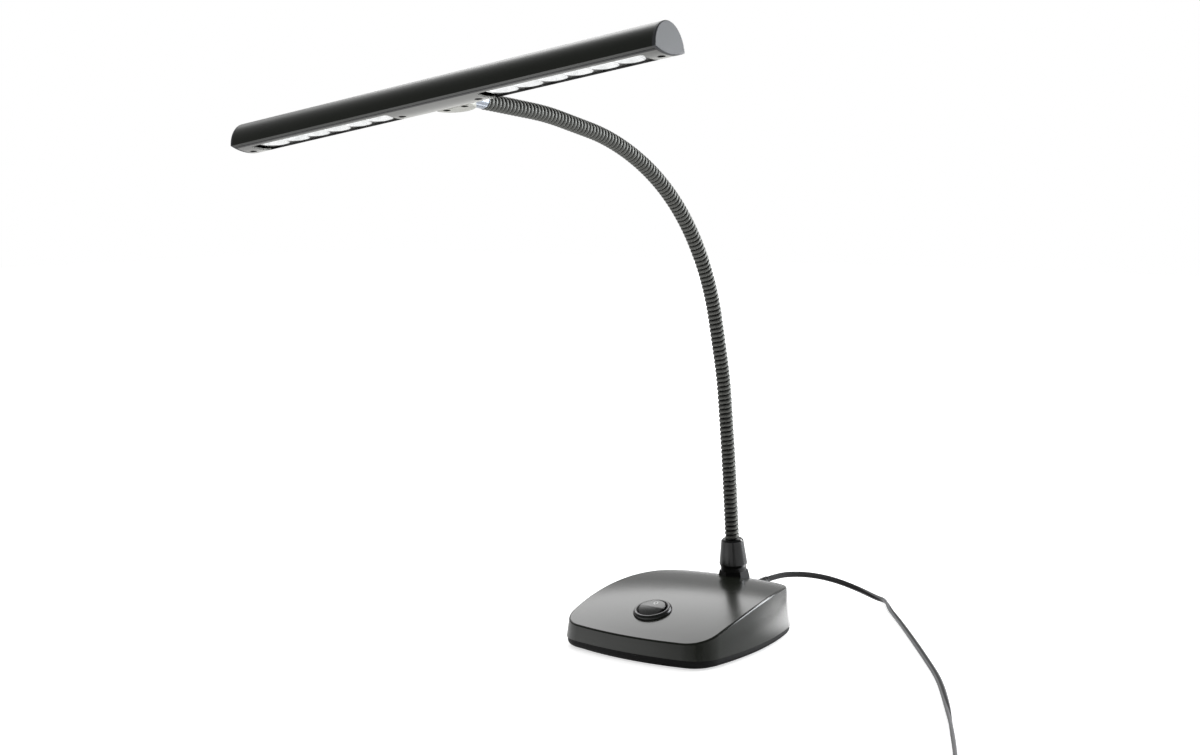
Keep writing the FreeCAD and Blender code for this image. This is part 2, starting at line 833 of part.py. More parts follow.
def make_supply_cord():
    """The lead along the table, the coil of the rest of it, and the plug-in adapter."""
    radius = size("cord_radius")
    entry, _ = coil_edge(COIL_ENTRY_ANGLE)
    route = SUPPLY_ROUTE + [Vector(246.6, -146.4, radius), entry]
    finish(tube("supply_tube", route, radius), "supply_cord")

    inner, outer = (size("coil_middle_radius") + side * size("coil_width") / 2 for side in (-1, 1))
    tall, soft = size("coil_height"), radius
    profile = [
        (inner + soft, 0),
        (outer - soft, 0),
        (outer, soft),
        (outer, tall - soft),
        (outer - soft, tall),
        (inner + soft, tall),
        (inner, tall - soft),
        (inner, soft),
    ]
    finish(revolved("coil_ring", profile, Placement(COIL_CENTRE, Rotation())), "cord_coil")

    lift = Vector(0, 0, COIL_EXIT_HEIGHT - radius)
    leave, way = coil_edge(COIL_EXIT_ANGLE)
    sleeve_start = leave + lift + way * ADAPTER_GAP
    finish(tube("tail_tube", [leave + lift, sleeve_start], radius), "cord_tail")

    frame = Placement(Vector(sleeve_start.x, sleeve_start.y, 0), Rotation(X_AXIS, way))
    block = box(
        "adapter_block",
        at(ADAPTER_SLEEVE, -size("adapter_width") / 2, 0),
        "sizes.adapter_length",
        "sizes.adapter_width",
        "sizes.adapter_height",
    )
    softened = rounded("adapter_softened", block, size("adapter_corner"), lambda edge: True)
    tip, root = size("adapter_sleeve_tip"), size("adapter_sleeve_root")
    sleeve = revolved(
        "adapter_sleeve",
        [(0, 0), (tip, 0), (root, ADAPTER_SLEEVE), (root, ADAPTER_SLEEVE + 1), (0, ADAPTER_SLEEVE + 1)],
        at(0, 0, COIL_EXIT_HEIGHT, Rotation(Y_AXIS, 90)),
    )
    finish(fused("adapter_solid", softened, sleeve), "adapter_body", frame)
    middle = size("adapter_height") / 2 - size("prong_width") / 2
    far_end = ADAPTER_SLEEVE + size("adapter_length")
    prongs = [
        box(
            f"prong_{i}",
            frame * at(far_end, side * size("prong_spacing") / 2 - size("prong_thickness") / 2, middle),
            "sizes.prong_length",
            "sizes.prong_thickness",
            "sizes.prong_width",
        )
        for i, side in enumerate((-1, 1))
    ]
    finish(assembled("prong_pair", *prongs), "adapter_prongs")


# ---------------------------------------------------------------- neck foot


def hexagon(radius, height):
    points = [Vector(radius * math.cos(a), radius * math.sin(a), height) for a in hex_angles()]
    return Part.makePolygon(points + points[:1])


def hex_angles():
    return [math.radians(60 * i + 30) for i in range(6)]


def make_neck_foot():
    """Hexagonal flange, turned collar, threaded nipple, washer and lock nut, all on the neck's axis."""
    sunk = size("flange_height")
    widen = (size("flange_foot_radius") - size("flange_top_radius")) / size("flange_height")
    foot = size("flange_foot_radius") + widen * sunk
    frustum = Part.makeLoft([hexagon(foot, -sunk), hexagon(size("flange_top_radius"), sunk)], True, True)
    rim = cylinder("flange_rim", at(0, 0, -sunk), "sizes.flange_foot_radius", "2 * sizes.flange_height")
    flange = common("flange_outside", shaped("flange_frustum", frustum), rim)
    flange.Placement = NECK_FOOT
    spread = 2 * size("flange_foot_radius")
    below_seat = box(
        "below_neck_seat",
        NECK_SEAT * at(-spread, -spread, -spread),
        "4 * sizes.flange_foot_radius",
        "4 * sizes.flange_foot_radius",
        "2 * sizes.flange_foot_radius",
    )
    nipple_hole = cylinder(
        "flange_bore",
        NECK_FOOT * at(0, 0, -size("flange_height")),
        "sizes.nipple_radius + sizes.fit_play",
        "3 * sizes.flange_height",
    )
    finish(cut("flange_part", flange, below_seat, nipple_hole), "neck_flange")

    low, top, edge = size("flange_height"), size("collar_height"), size("collar_chamfer")
    play = size("turning_play")
    core, socket = size("neck_core_radius") + play, size("nipple_radius") + play
    reach = size("nipple_reach") + size("screw_play")
    profile = [
        (socket, low),
        (size("collar_foot_radius"), low),
        (size("collar_waist_radius"), size("collar_waist_top")),
        (size("collar_wide_radius"), size("collar_wide_height")),
        (size("collar_top_radius"), top - edge),
        (size("collar_top_radius") - edge, top),
        (core, top),
        (core, reach),
        (socket, reach),
    ]
    finish(revolved("collar_turning", profile, NECK_FOOT), "neck_collar")

    drop = size("nipple_drop")
    bore, radius = size("nipple_bore_radius"), size("nipple_radius")
    finish(revolved("nipple_tube", ring(bore, radius, -drop, size("nipple_reach")), NECK_FOOT), "neck_nipple")
    under = -size("neck_boss_drop")
    hole = radius + size("fit_play")
    thick = size("washer_thickness")
    washer = ring(hole, size("washer_radius"), under - thick, under)
    finish(revolved("washer_ring", washer, NECK_FOOT), "neck_washer")
    tall = size("lock_nut_height")
    nut = Part.Face(hexagon(size("lock_nut_radius"), under - thick - tall)).extrude(Vector(0, 0, tall))
    blank = shaped("lock_nut_blank", nut)
    bore = "sizes.nipple_radius + 0.4 * sizes.turning_play"
    thread = cylinder("lock_nut_thread", at(0, 0, -FAR), bore, str(FAR))
    finish(cut("lock_nut_solid", blank, thread), "neck_lock_nut", NECK_FOOT)


# ---------------------------------------------------------------- neck


def neck_frames():
    """Each section's lower end, with Z along the section, and the frame at the neck's far end."""
    frames, origin = {}, NECK_FOOT.multVec(Vector(0, 0, size("collar_height")))
    for index, angle in section_headings().items():
        frames[index] = Placement(origin, turned(angle))
        origin = frames[index].multVec(Vector(0, 0, SECTION))
    frames["end"] = Placement(origin, frames[COUNT].Rotation)
    return frames


def sleeve(first, last):
    """A ribbed sleeve: a hollow socket below, a rounded end above, or a spigot where it is held."""
    crest, valley = size("neck_radius"), size("neck_radius") - size("rib_depth")
    ball, bore = size("joint_ball_radius"), size("bore_radius")
    cup = ball + size("joint_gap")
    spigot, core = size("neck_spigot"), size("neck_core_radius")

    def dome(radius, base, away):
        return base + math.sqrt(radius**2 - away**2)

    low = 0.0 if first else dome(cup, 0, valley)
    high = SECTION if last else dome(ball, SECTION, valley)
    pitch = (high - low) / size("ribs_per_section")
    edges = []
    for rib in range(int(size("ribs_per_section"))):
        start = low + rib * pitch
        edges.append(arc((valley, start), (crest, start + pitch / 2), (valley, start + pitch)))
    if last:
        edges += lines((valley, high), (core, high), (core, high + spigot), (bore, high + spigot))
        top = high + spigot
    else:
        top = dome(ball, SECTION, bore)
        middle = (valley + bore) / 2
        edges.append(arc((valley, high), (middle, dome(ball, SECTION, middle)), (bore, top)))
    if first:
        edges += lines((bore, top), (bore, low - spigot), (core, low - spigot), (core, low), (valley, low))
    else:
        bottom = dome(cup, 0, bore)
        middle = (valley + bore) / 2
        edges += lines((bore, top), (bore, bottom))
        edges.append(arc((bore, bottom), (middle, dome(cup, 0, middle)), (valley, low)))
    return Part.Face(Part.Wire(edges)).revolve(Vector(), Z_AXIS, 360)


def arc(*points):
    return Part.Arc(*[Vector(radius, 0, height) for radius, height in points]).toShape()


def lines(*points):
    ends = [Vector(radius, 0, height) for radius, height in points]
    return [Part.LineSegment(a, b).toShape() for a, b in zip(ends, ends[1:])]


def section_lead(first, last):
    """The length of lead inside one section. It stops inside the ball joints at both ends."""
    low = size("joint_ball_radius") + 2 * size("joint_gap")
    high = SECTION + size("joint_ball_radius") - 3 * size("joint_gap")
    if first:
        low = -size("collar_height") - size("nipple_drop")
    if last:
        high = SECTION + LEAD_PAST_NECK
    return Part.makeCylinder(size("lead_radius"), high - low, Vector(0, 0, low))


FERRULE_FACE = size("ferrule_length")  # measured from the neck's far end
HUB_FACE = FERRULE_FACE + size("swivel_gap")
STUD_END = HUB_FACE + 2 * size("hub_radius") - size("stud_short")
LEAD_PAST_NECK = STUD_END


def make_neck():
    """Identical ribbed sections, apart from the first, in the collar, and the last, in the ferrule."""
    frames = neck_frames()
    for index in range(1, COUNT + 1):
        ends = (index == 1, index == COUNT)
        pair = Part.makeCompound([sleeve(*ends), section_lead(*ends)])
        finish(shaped(f"section_{index:02d}", pair), f"neck_section_{index:02d}", frames[index])

    end = frames["end"]
    radius, spigot, face = size("ferrule_radius"), size("neck_spigot"), FERRULE_FACE
    core = size("neck_core_radius") + size("turning_play")
    hole = size("stud_radius")
    edge = size("ferrule_edge")
    seat = spigot + size("ferrule_rest")
    profile = [
        (core, 0),
        (radius - edge, 0),
        (radius, edge),
        (radius, face - edge),
        (radius - edge, face),
        (hole, face),
        (hole, seat),
        (core, seat),
    ]
    finish(revolved("ferrule_turning", profile, end), "neck_ferrule")
    bore = size("bore_radius")
    finish(revolved("stud_tube", ring(bore, hole, seat, STUD_END), end), "swivel_stud")
    clip = ring(hole, size("clip_radius"), clip_place(), clip_place() + size("clip_thickness"))
    finish(revolved("clip_ring", clip, end), "swivel_clip")


def clip_place():
    """How far past the neck's end the retaining ring starts."""
    return STUD_END - size("stud_past_clip") - size("clip_thickness")


# ---------------------------------------------------------------- light bar
# Its own frame: X along the bar, Y to the back, Z up, with Z = 0 where its sides end.


def bar_frame():
    """The bar hangs on the swivel axis, which is the neck's last direction, and is tilted about it."""
    end = neck_frames()["end"]
    tilt = Rotation(Y_AXIS, -size("bar_tilt"))
    frame = Placement(end.Base, end.Rotation * turned(-90) * tilt)
    back = size("hub_place") + size("hub_radius") + HUB_FACE
    return frame * at(0, -back, -size("axle_height"))


HALF_WIDTH = size("bar_width") / 2
BELLY_RADIUS = (HALF_WIDTH**2 + size("bar_belly") ** 2) / (2 * size("bar_belly"))
BELLY_CENTRE = BELLY_RADIUS - size("bar_belly")
SLOT = HALF_WIDTH - size("lip_width")  # half the gap between the shell's lips
PLATE_HALF = SLOT - size("plate_gap")
SHELL_LENGTH = "sizes.bar_length - 2 * sizes.cap_thickness"
WINDOW = "sizes.bar_length / 2 - sizes.window_outer_margin - sizes.window_inner_end"
WINDOW_LENGTH = size("bar_length") / 2 - size("window_outer_margin") - size("window_inner_end")
WINDOW_PLACE = size("window_inner_end") + WINDOW_LENGTH / 2


def bar_form(name, inset, length):
    """The bar's section, an arched top over a shallow belly, inset all round and pushed along X."""
    top = Vector(0, 0, size("bar_height") - inset)
    side = Vector(0, HALF_WIDTH - inset, 0)
    arch = Part.Ellipse(top, side, Vector())
    prism = extruded(name + "_arch", Part.Face(Part.Wire([arch.toShape()])), length)
    belly = cylinder(
        name + "_belly",
        at(-FAR / 2, 0, BELLY_CENTRE, Rotation(Y_AXIS, 90)),
        str(BELLY_RADIUS - inset),
        str(FAR),
    )
    return common(name, prism, belly)


def middle_box(name, half_width, low, high, length):
    """A box along X, centred on the bar, between two heights."""
    return extruded(name, across_face(ring(-half_width, half_width, low, high)), length)


def plate_screw_places():
    inner, outer = size("plate_screw_inner"), size("bar_length") / 2 - size("plate_screw_margin")
    return [(x, 0.0) for x in (-outer, -inner, inner, outer)]


def hub_room(name, play):
    """The round hub's outline, above the web inside the bar and full height behind it."""
    radius, foot = size("hub_radius") + play, size("hub_foot") - play
    puck = primitive("Cylinder", name + "_puck", at(0, size("hub_place"), foot))
    puck.Radius = radius
    puck.Height = size("hub_top") + play - foot
    return puck


HUB_SPLIT = SLOT + 0.05  # the hub's foot starts behind the plate and the web
HUB_SCREWS = [(side * size("hub_screw_place"), size("hub_screw_back")) for side in (-1, 1)]
WEB_SCREWS = [(side * size("web_screw_place"), size("web_screw_back")) for side in (-1, 1)]


def make_shell(frame):
    """The extruded channel: arched wall, lips below, a web that the lamps sit under."""
    wall = size("bar_wall")
    outer = bar_form("shell_outer", 0.0, SHELL_LENGTH)
    inner = bar_form("shell_inner", wall, SHELL_LENGTH)
    slot = middle_box("shell_slot", SLOT, -2 * size("bar_belly"), wall + 1, SHELL_LENGTH)
    channel = cut("shell_channel", outer, inner, slot)
    web_top = size("web_top")
    web_bar = middle_box("web_bar", HALF_WIDTH, web_top - wall, web_top, SHELL_LENGTH)
    web = common("shell_web", web_bar, bar_form("web_limit", wall / 2, SHELL_LENGTH))
    solid = fused("shell_solid", channel, web)
    cutters = [hub_cutter(web_top)]
    notch = size("clip_radius") + size("clip_room")
    clip_room = at(-notch, size("clip_room_front"), web_top - 2 * wall)
    notch_sizes = [str(2 * notch), "3 * sizes.stud_radius", "4 * sizes.bar_wall"]
    cutters.append(box("clip_notch", clip_room, *notch_sizes))
    through = "1.5 * sizes.web_top"
    for i, (x, y) in enumerate(plate_screw_places()):
        cutters.append(cylinder(f"web_pilot_{i}", at(x, y, 0), "sizes.plate_screw_radius", through))
    screw_hole = "sizes.plate_screw_radius + sizes.fit_play"
    for i, (x, y) in enumerate(WEB_SCREWS):
        cutters.append(cylinder(f"web_hole_{i}", at(x, y, 0), screw_hole, through))
    lead_hole = "sizes.lead_radius + 3 * sizes.fit_play"
    for i, x in enumerate(lead_drops()):
        cutters.append(cylinder(f"web_lead_hole_{i}", at(x, 0, 0), lead_hole, through))
    finish(cut("shell_part", solid, *cutters), "head_shell", frame)


def hub_cutter(web_top):
    """The hole that the hub needs in the shell. The web stays under the hub's front."""
    kept = block_between("web_kept", -FAR, HUB_SPLIT - 0.1, -FAR, web_top)
    return cut("hub_cutter", hub_room("hub_hole", size("fit_play")), kept)


def block_between(name, front, back, low, high):
    """A block that is wide enough for any cut, between two places across the bar and two heights."""
    return box(name, at(-FAR / 2, front, low), str(FAR), str(back - front), str(high - low))


def lead_drops():
    """Where the lead goes down through the web to the two lamp boards."""
    reach = size("window_inner_end") + size("board_play") + size("lead_landing")
    return (-reach, reach)


def make_underside(frame):
    """The curved plate with two windows, its screws and the two end caps."""
    thick = size("plate_thickness")
    along = at(-FAR / 2, 0, BELLY_CENTRE, Rotation(Y_AXIS, 90))
    outer = cylinder("plate_outer", along, str(BELLY_RADIUS), str(FAR))
    inner = cylinder("plate_inner", along, str(BELLY_RADIUS - thick), str(FAR))
    strip = middle_box("plate_strip", PLATE_HALF, -2 * size("bar_belly"), 2.0, SHELL_LENGTH + " - 0.2")
    bent = common("plate_bent", cut("plate_skin", outer, inner), strip)
    cutters = []
    for i, side in enumerate((-1, 1)):
        hole = box(
            f"window_block_{i}",
            at(side * WINDOW_PLACE - WINDOW_LENGTH / 2, -size("window_width") / 2, -10),
            WINDOW,
            "sizes.window_width",
            "20",
        )
        cutters.append(upright_fillet(f"window_{i}", hole, size("window_corner")))
    low = -size("bar_belly")
    sink = size("plate_head_height")
    for i, (x, y) in enumerate(plate_screw_places()):
        below = at(x, y, low - 1)
        cutters.append(cylinder(f"plate_hole_{i}", below, "sizes.plate_screw_radius + sizes.fit_play", "3"))
        cutters.append(cylinder(f"plate_recess_{i}", below, "sizes.plate_hole_radius", str(1 + sink)))
    finish(cut("plate_part", bent, *cutters), "underside_plate", frame)

    screws = [
        screw(
            f"plate_screw_{i}",
            at(x, y, low + sink),
            "sizes.plate_screw_radius",
            "sizes.web_top + sizes.bar_belly - sizes.plate_head_height",
            "sizes.plate_head_radius",
            "sizes.plate_head_height",
        )
        for i, (x, y) in enumerate(plate_screw_places())
    ]
    finish(assembled("plate_screw_set", *screws), "plate_screws", frame)

    for label, side in (("end_cap_right", 1), ("end_cap_left", -1)):
        finish(make_end_cap(label), label, frame * at(0, 0, 0, Rotation(Z_AXIS, 0 if side > 0 else 180)))


def make_end_cap(label):
    """A cap on the bar's outline with a plug that fits above the web."""
    disc = bar_form(label + "_disc", 0.0, "sizes.cap_thickness")
    disc.Placement = at(size("bar_length") / 2 - size("cap_thickness") / 2, 0, 0)
    far_face = size("bar_length") / 2 - 0.01
    round_edge = size("cap_round")
    softened = rounded(label + "_softened", disc, round_edge, lambda edge: edge.CenterOfMass.x > far_face)
    depth = "sizes.cap_plug_depth"
    plug = bar_form(label + "_plug", size("bar_wall") + size("cap_play"), depth)
    above = middle_box(label + "_above", HALF_WIDTH, size("web_top") + size("cap_play"), FAR, depth)
    fitted = common(label + "_fitted", plug, above)
    fitted.Placement = at(size("bar_length") / 2 - size("cap_thickness") - size("cap_plug_depth") / 2, 0, 0)
    return fused(label + "_solid", softened, fitted)


def make_lamps(frame):
    """Two boards under the web, each with a row of lamps and a reflector of round cups."""
    under_web = size("web_top") - size("bar_wall")
    under_board = under_web - size("board_thickness")
    chip = size("chip_size")
    for label, side in (("right", 1), ("left", -1)):
        middle = side * WINDOW_PLACE
        board_start = middle - WINDOW_LENGTH / 2 + size("board_play")
        board = box(
            f"board_{label}",
            frame * at(board_start, -size("board_width") / 2, under_board),
            WINDOW + " - 2 * sizes.board_play",
            "sizes.board_width",
            "sizes.board_thickness",
        )
        finish(board, f"led_board_{label}")
        count = int(size("lamp_count"))
        row = WINDOW_LENGTH - 2 * (size("reflector_play") + size("cell_margin"))
        places = [middle + ((i + 0.5) / count - 0.5) * row for i in range(count)]
        chips = [
            box(
                f"chip_{label}_{i}",
                at(x - chip / 2, -chip / 2, under_board - size("chip_height")),
                "sizes.chip_size",
                "sizes.chip_size",
                "sizes.chip_height",
            )
            for i, x in enumerate(places)
        ]
        finish(assembled(f"chip_row_{label}", *chips), f"led_chips_{label}", frame)
        rim = size("reflector_rim")
        strip = box(
            f"reflector_strip_{label}",
            at(middle - WINDOW_LENGTH / 2 + size("reflector_play"), -size("reflector_width") / 2, rim),
            WINDOW + " - 2 * sizes.reflector_play",
            "sizes.reflector_width",
            str(under_board - rim),
        )
        cups = [
            primitive(
                "Cone",
                f"cup_{label}_{i}",
                at(x, 0, rim),
                Radius1="sizes.cup_radius",
                Radius2="sizes.cup_floor_radius",
                Height=str(under_board - rim),
            )
            for i, x in enumerate(places)
        ]
        finish(cut(f"reflector_part_{label}", strip, *cups), f"reflector_{label}", frame)


def make_hub(frame):
    """The round hub on the bar's back: a body and a lower cover that close round the swivel stud."""
    web_top, axle, place = size("web_top"), size("axle_height"), size("hub_place")
    across = Rotation(X_AXIS, -90)
    body_puck = hub_room("hub_body", 0.0)
    cover_puck = hub_room("hub_cover", 0.0)
    body_blank = rounded("hub_body_rounded", body_puck, size("hub_round"), at_height(size("hub_top")))
    foot, foot_round = size("hub_foot"), size("hub_foot_round")
    cover_blank = rounded("hub_cover_rounded", cover_puck, foot_round, at_height(foot))
    stud_way = at(0, 0, axle, across)
    through = "4 * sizes.hub_radius"
    stud_hole = cylinder("hub_stud_hole", stud_way, "sizes.stud_radius + sizes.stud_play", through)
    clip_face = place + size("hub_radius") + HUB_FACE - clip_place() + size("fit_play")
    cavity = cylinder("hub_cavity", stud_way, "sizes.clip_radius + sizes.clip_room", str(clip_face))
    pilot_length = "sizes.hub_screw_length + 1"
    pilots = [
        cylinder(f"hub_pilot_{i}", at(x, y, foot), "sizes.plate_screw_radius", pilot_length)
        for i, (x, y) in enumerate(HUB_SCREWS)
    ]
    web_pilots = [
        cylinder(f"hub_web_pilot_{i}", at(x, y, 0), "sizes.plate_screw_radius", "sizes.web_pilot_top")
        for i, (x, y) in enumerate(WEB_SCREWS)
    ]
    under_front = block_between("hub_under_front", -FAR, HUB_SPLIT, -FAR, web_top)
    under_back = block_between("hub_under_back", HUB_SPLIT, FAR, -FAR, axle)
    body = cut("hub_body_part", body_blank, under_front, under_back, stud_hole, cavity, *pilots, *web_pilots)
    finish(body, "head_hub", frame)
    inside = block_between("hub_inside", -FAR, HUB_SPLIT, -FAR, FAR)
    above = block_between("hub_above_axle", -FAR, FAR, axle, FAR)
    recesses = [
        cylinder(
            f"hub_recess_{i}",
            at(x, y, foot - 1),
            "sizes.plate_head_radius + sizes.fit_play",
            "1 + sizes.plate_head_height",
        )
        for i, (x, y) in enumerate(HUB_SCREWS)
    ]
    cover = cut("hub_cover_part", cover_blank, inside, above, stud_hole, *pilots, *recesses)
    finish(cover, "hub_cover", frame)

    cover_screws = [
        screw(
            f"hub_screw_{i}",
            at(x, y, foot + size("plate_head_height")),
            "sizes.plate_screw_radius",
            "sizes.hub_screw_length",
            "sizes.plate_head_radius",
            "sizes.plate_head_height",
        )
        for i, (x, y) in enumerate(HUB_SCREWS)
    ]
    finish(assembled("hub_screw_set", *cover_screws), "hub_screws", frame)
    web_screws = [
        screw(
            f"web_screw_{i}",
            at(x, y, web_top - size("bar_wall")),
            "sizes.plate_screw_radius",
            "sizes.web_screw_length",
            "sizes.plate_head_radius",
            "sizes.plate_head_height",
        )
        for i, (x, y) in enumerate(WEB_SCREWS)
    ]
    finish(assembled("web_screw_set", *web_screws), "hub_web_screws", frame)


def at_height(height):
    """Picks the edges that lie at one height."""
    return lambda edge: abs(edge.CenterOfMass.z - height) < 0.01


def make_head_lead(frame):
    """The lead inside the bar: from the stud to the middle, then both ways and down to the boards."""
    axle = size("axle_height")
    radius = size("head_lead_radius")
    start = size("hub_place") + size("hub_radius") + HUB_FACE - STUD_END - 3 * size("fit_play")
    left, right = lead_drops()
    board_top = size("web_top") - size("bar_wall")
    solid = Part.makeCylinder(radius, start, Vector(0, 0, axle), Y_AXIS)
    solid = solid.fuse(Part.makeCylinder(radius, right - left, Vector(left, 0, axle), X_AXIS))
    for x in (left, right):
        solid = solid.fuse(Part.makeCylinder(radius, axle - board_top, Vector(x, 0, board_top), Z_AXIS))
        solid = solid.fuse(Part.makeSphere(radius, Vector(x, 0, axle)))
    finish(shaped("head_lead_solid", solid.removeSplitter()), "head_lead", frame)


# ---------------------------------------------------------------- build, check and write


def check_and_write():
    """Every object has to be sound before any file is written."""
    doc.recompute()
    for item in doc.Objects:
        bad = [state for state in item.State if state in ("Invalid", "Error")]
        if bad:
            raise RuntimeError(f"{item.Name} ({item.Label}) is {bad}")
    labels = [item.Label for item in finished]
    if len(set(labels)) != len(labels):
        raise RuntimeError("two sub-parts share a label")
    for item in finished:
        shape = item.Shape
        if shape.isNull() or not shape.isValid() or not shape.Solids:
            raise RuntimeError(f"{item.Label} is not a valid solid")
    os.makedirs("parts", exist_ok=True)
    for item in finished:
        item.Shape.exportStep(f"parts/{item.Label}.step")
        print(f"{item.Label}: {len(item.Shape.Solids)} solids, {item.Shape.Volume / 1000:.2f} cm3")
    print(len(finished), "nodes")


make_base_cover()
make_base_tray()
make_base_small_parts()
make_switch()
make_inner_leads()
make_strain_relief()
make_supply_cord()
make_neck_foot()
make_neck()
BAR = bar_frame()
make_shell(BAR)
make_underside(BAR)
make_lamps(BAR)
make_hub(BAR)
make_head_lead(BAR)
check_and_write()
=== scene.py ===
# %% [markdown]
# # A piano lamp, dressed
# The construction comes packed: base, neck, light bar and everything inside them, at their real size.
# This lesson gives them their finishes and adds what CAD leaves plain: the wound metal hose of the
# neck, the lead with its coil, the switch, the ribbed relief and the screws with their recesses.
# Everything is in metres, +Z up, with the origin in the middle of the base's footprint.

import json
import math

import bmesh
import bpy
from mathutils import Matrix, Vector


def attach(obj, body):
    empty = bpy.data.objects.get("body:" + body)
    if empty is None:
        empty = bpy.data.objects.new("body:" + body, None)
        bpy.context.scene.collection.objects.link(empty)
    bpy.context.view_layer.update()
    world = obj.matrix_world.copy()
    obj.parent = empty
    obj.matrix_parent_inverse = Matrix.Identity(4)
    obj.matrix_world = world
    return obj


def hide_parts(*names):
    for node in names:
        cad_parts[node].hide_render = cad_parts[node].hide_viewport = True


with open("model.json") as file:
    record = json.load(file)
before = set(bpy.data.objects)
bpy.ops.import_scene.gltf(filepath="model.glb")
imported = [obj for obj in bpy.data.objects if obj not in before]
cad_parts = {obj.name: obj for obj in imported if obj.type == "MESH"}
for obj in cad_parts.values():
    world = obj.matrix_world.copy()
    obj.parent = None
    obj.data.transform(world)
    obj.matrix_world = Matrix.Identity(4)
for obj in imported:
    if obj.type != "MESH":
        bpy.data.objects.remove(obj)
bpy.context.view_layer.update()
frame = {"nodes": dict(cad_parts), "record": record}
nodes = frame["nodes"]
joints = {joint["name"]: joint for joint in frame["record"]["behaviour"]["joints"]}
MM = 0.001

# %% [markdown]
# ## The camera
# The lamp is seen from its front right, a little from above, with a lens of about 55 mm.

# %% Camera
CAMERA_PLACE = Vector((0.6088, -0.9034, 0.27845))
CAMERA_YAW = 0.64226
CAMERA_PITCH = 0.1106
CAMERA_LENS = 55.5
SENSOR_WIDTH = 36
CLIP_END = 20

bpy.ops.object.camera_add(location=CAMERA_PLACE, rotation=(math.pi / 2 - CAMERA_PITCH, 0, CAMERA_YAW))
camera = bpy.context.object
camera.name = "camera"
camera.data.lens = CAMERA_LENS
camera.data.sensor_width = SENSOR_WIDTH
camera.data.clip_end = CLIP_END
bpy.context.scene.camera = camera

# %% [markdown]
# ## Shaders as arithmetic
# A finish is mostly sums: noise times a strength plus a base value. Wrapping a socket in a small
# class lets us write such a sum in Python. Every operator adds one Math node behind the scenes.

# %% A socket that can be added and multiplied
class Value:
    """The output of a node, with Python's operators."""

    def __init__(self, finish, socket):
        self.finish = finish
        self.socket = socket

    def math(self, operation, *others):
        operands = dict(enumerate((self, *others)))
        return self.finish.node("ShaderNodeMath", {"operation": operation}, operands)

    def __add__(self, other):
        return self.math("ADD", other)

    __radd__ = __add__

    def __mul__(self, other):
        return self.math("MULTIPLY", other)

    __rmul__ = __mul__

    def __sub__(self, other):
        return self.math("SUBTRACT", other)

    def __rsub__(self, other):
        return self * -1 + other

    def __truediv__(self, other):
        return self.math("DIVIDE", other)

    def __pow__(self, other):
        return self.math("POWER", other)

    def __abs__(self):
        return self.math("ABSOLUTE")

    def step(self, edge, soft):
        """0 below the edge and 1 above it, with a ramp as wide as soft."""
        settings = {"interpolation_type": "SMOOTHSTEP"}
        sockets = {"Value": self, "From Min": edge - soft / 2, "From Max": edge + soft / 2}
        return self.finish.node("ShaderNodeMapRange", settings, sockets)


# %% A finish is one Principled shader and the nodes in front of it
class Finish:
    """A material in the making. Plain numbers go straight onto the shader's own sockets."""

    def __init__(self, name, color, roughness, **constants):
        self.material = bpy.data.materials.new(name)
        self.material.use_nodes = True
        self.tree = self.material.node_tree
        self.shader = self.tree.nodes["Principled BSDF"]
        self.set("Base Color", color)
        self.set("Roughness", roughness)
        for socket, value in constants.items():
            self.set(socket.replace("_", " "), value)

    def node(self, kind, settings=None, sockets=None, output=0):
        """Adds any node: its settings first, then the values or links of its sockets."""
        node = self.tree.nodes.new(kind)
        for name, value in (settings or {}).items():
            setattr(node, name, value)
        for name, value in (sockets or {}).items():
            self.plug(node.inputs[name], value)
        return Value(self, node.outputs[output])

    def plug(self, socket, value):
        if isinstance(value, Value):
            self.tree.links.new(value.socket, socket)
        elif isinstance(value, tuple) and len(value) == 3 and socket.type == "RGBA":
            socket.default_value = (*value, 1)
        else:
            socket.default_value = value

    def set(self, socket, value):
        self.plug(self.shader.inputs[socket], value)

    def place(self):
        """Where a point is, in metres."""
        return self.node("ShaderNodeTexCoord", output="Object")

    def vector(self, operation, *operands, output="Vector"):
        """A step of arithmetic with vectors. Lengths and products come out as a Value."""
        return self.node("ShaderNodeVectorMath", {"operation": operation}, dict(enumerate(operands)), output)

    def noise(self, size, detail=2.0, stretch=(1, 1, 1)):
        """Noise between 0 and 1 whose blots are about as large as size, in metres."""
        where = self.node("ShaderNodeMapping", sockets={"Vector": self.place(), "Scale": stretch})
        sockets = {"Vector": where, "Scale": 1 / size, "Detail": detail}
        return self.node("ShaderNodeTexNoise", sockets=sockets)

    def mix(self, factor, first, second):
        """The first colour where the factor is 0, the second where it is 1."""
        sockets = {"Factor": factor, 6: first, 7: second}
        return self.node("ShaderNodeMix", {"data_type": "RGBA"}, sockets, output=2)

    def rays(self, kind):
        """1 for light rays of one kind, such as "Is Camera Ray", and 0 for all others."""
        return self.node("ShaderNodeLightPath", output=kind)

    def bump(self, height, depth):
        """Raises the surface by height times depth, in metres."""
        self.set("Normal", self.node("ShaderNodeBump", sockets={"Height": height * depth, "Distance": 1.0}))


# %% [markdown]
# ## Moulded plastic
# The base is moulded in a satin, almost black plastic. A fine grain is spark-eroded into the mould, so
# the plastic has tiny dimples that soften its highlight. Handling leaves faint larger clouds.

# %% Satin and grained plastics
CLOUD_SIZE = 30 * MM
CLOUD_CONTRAST = 0.12


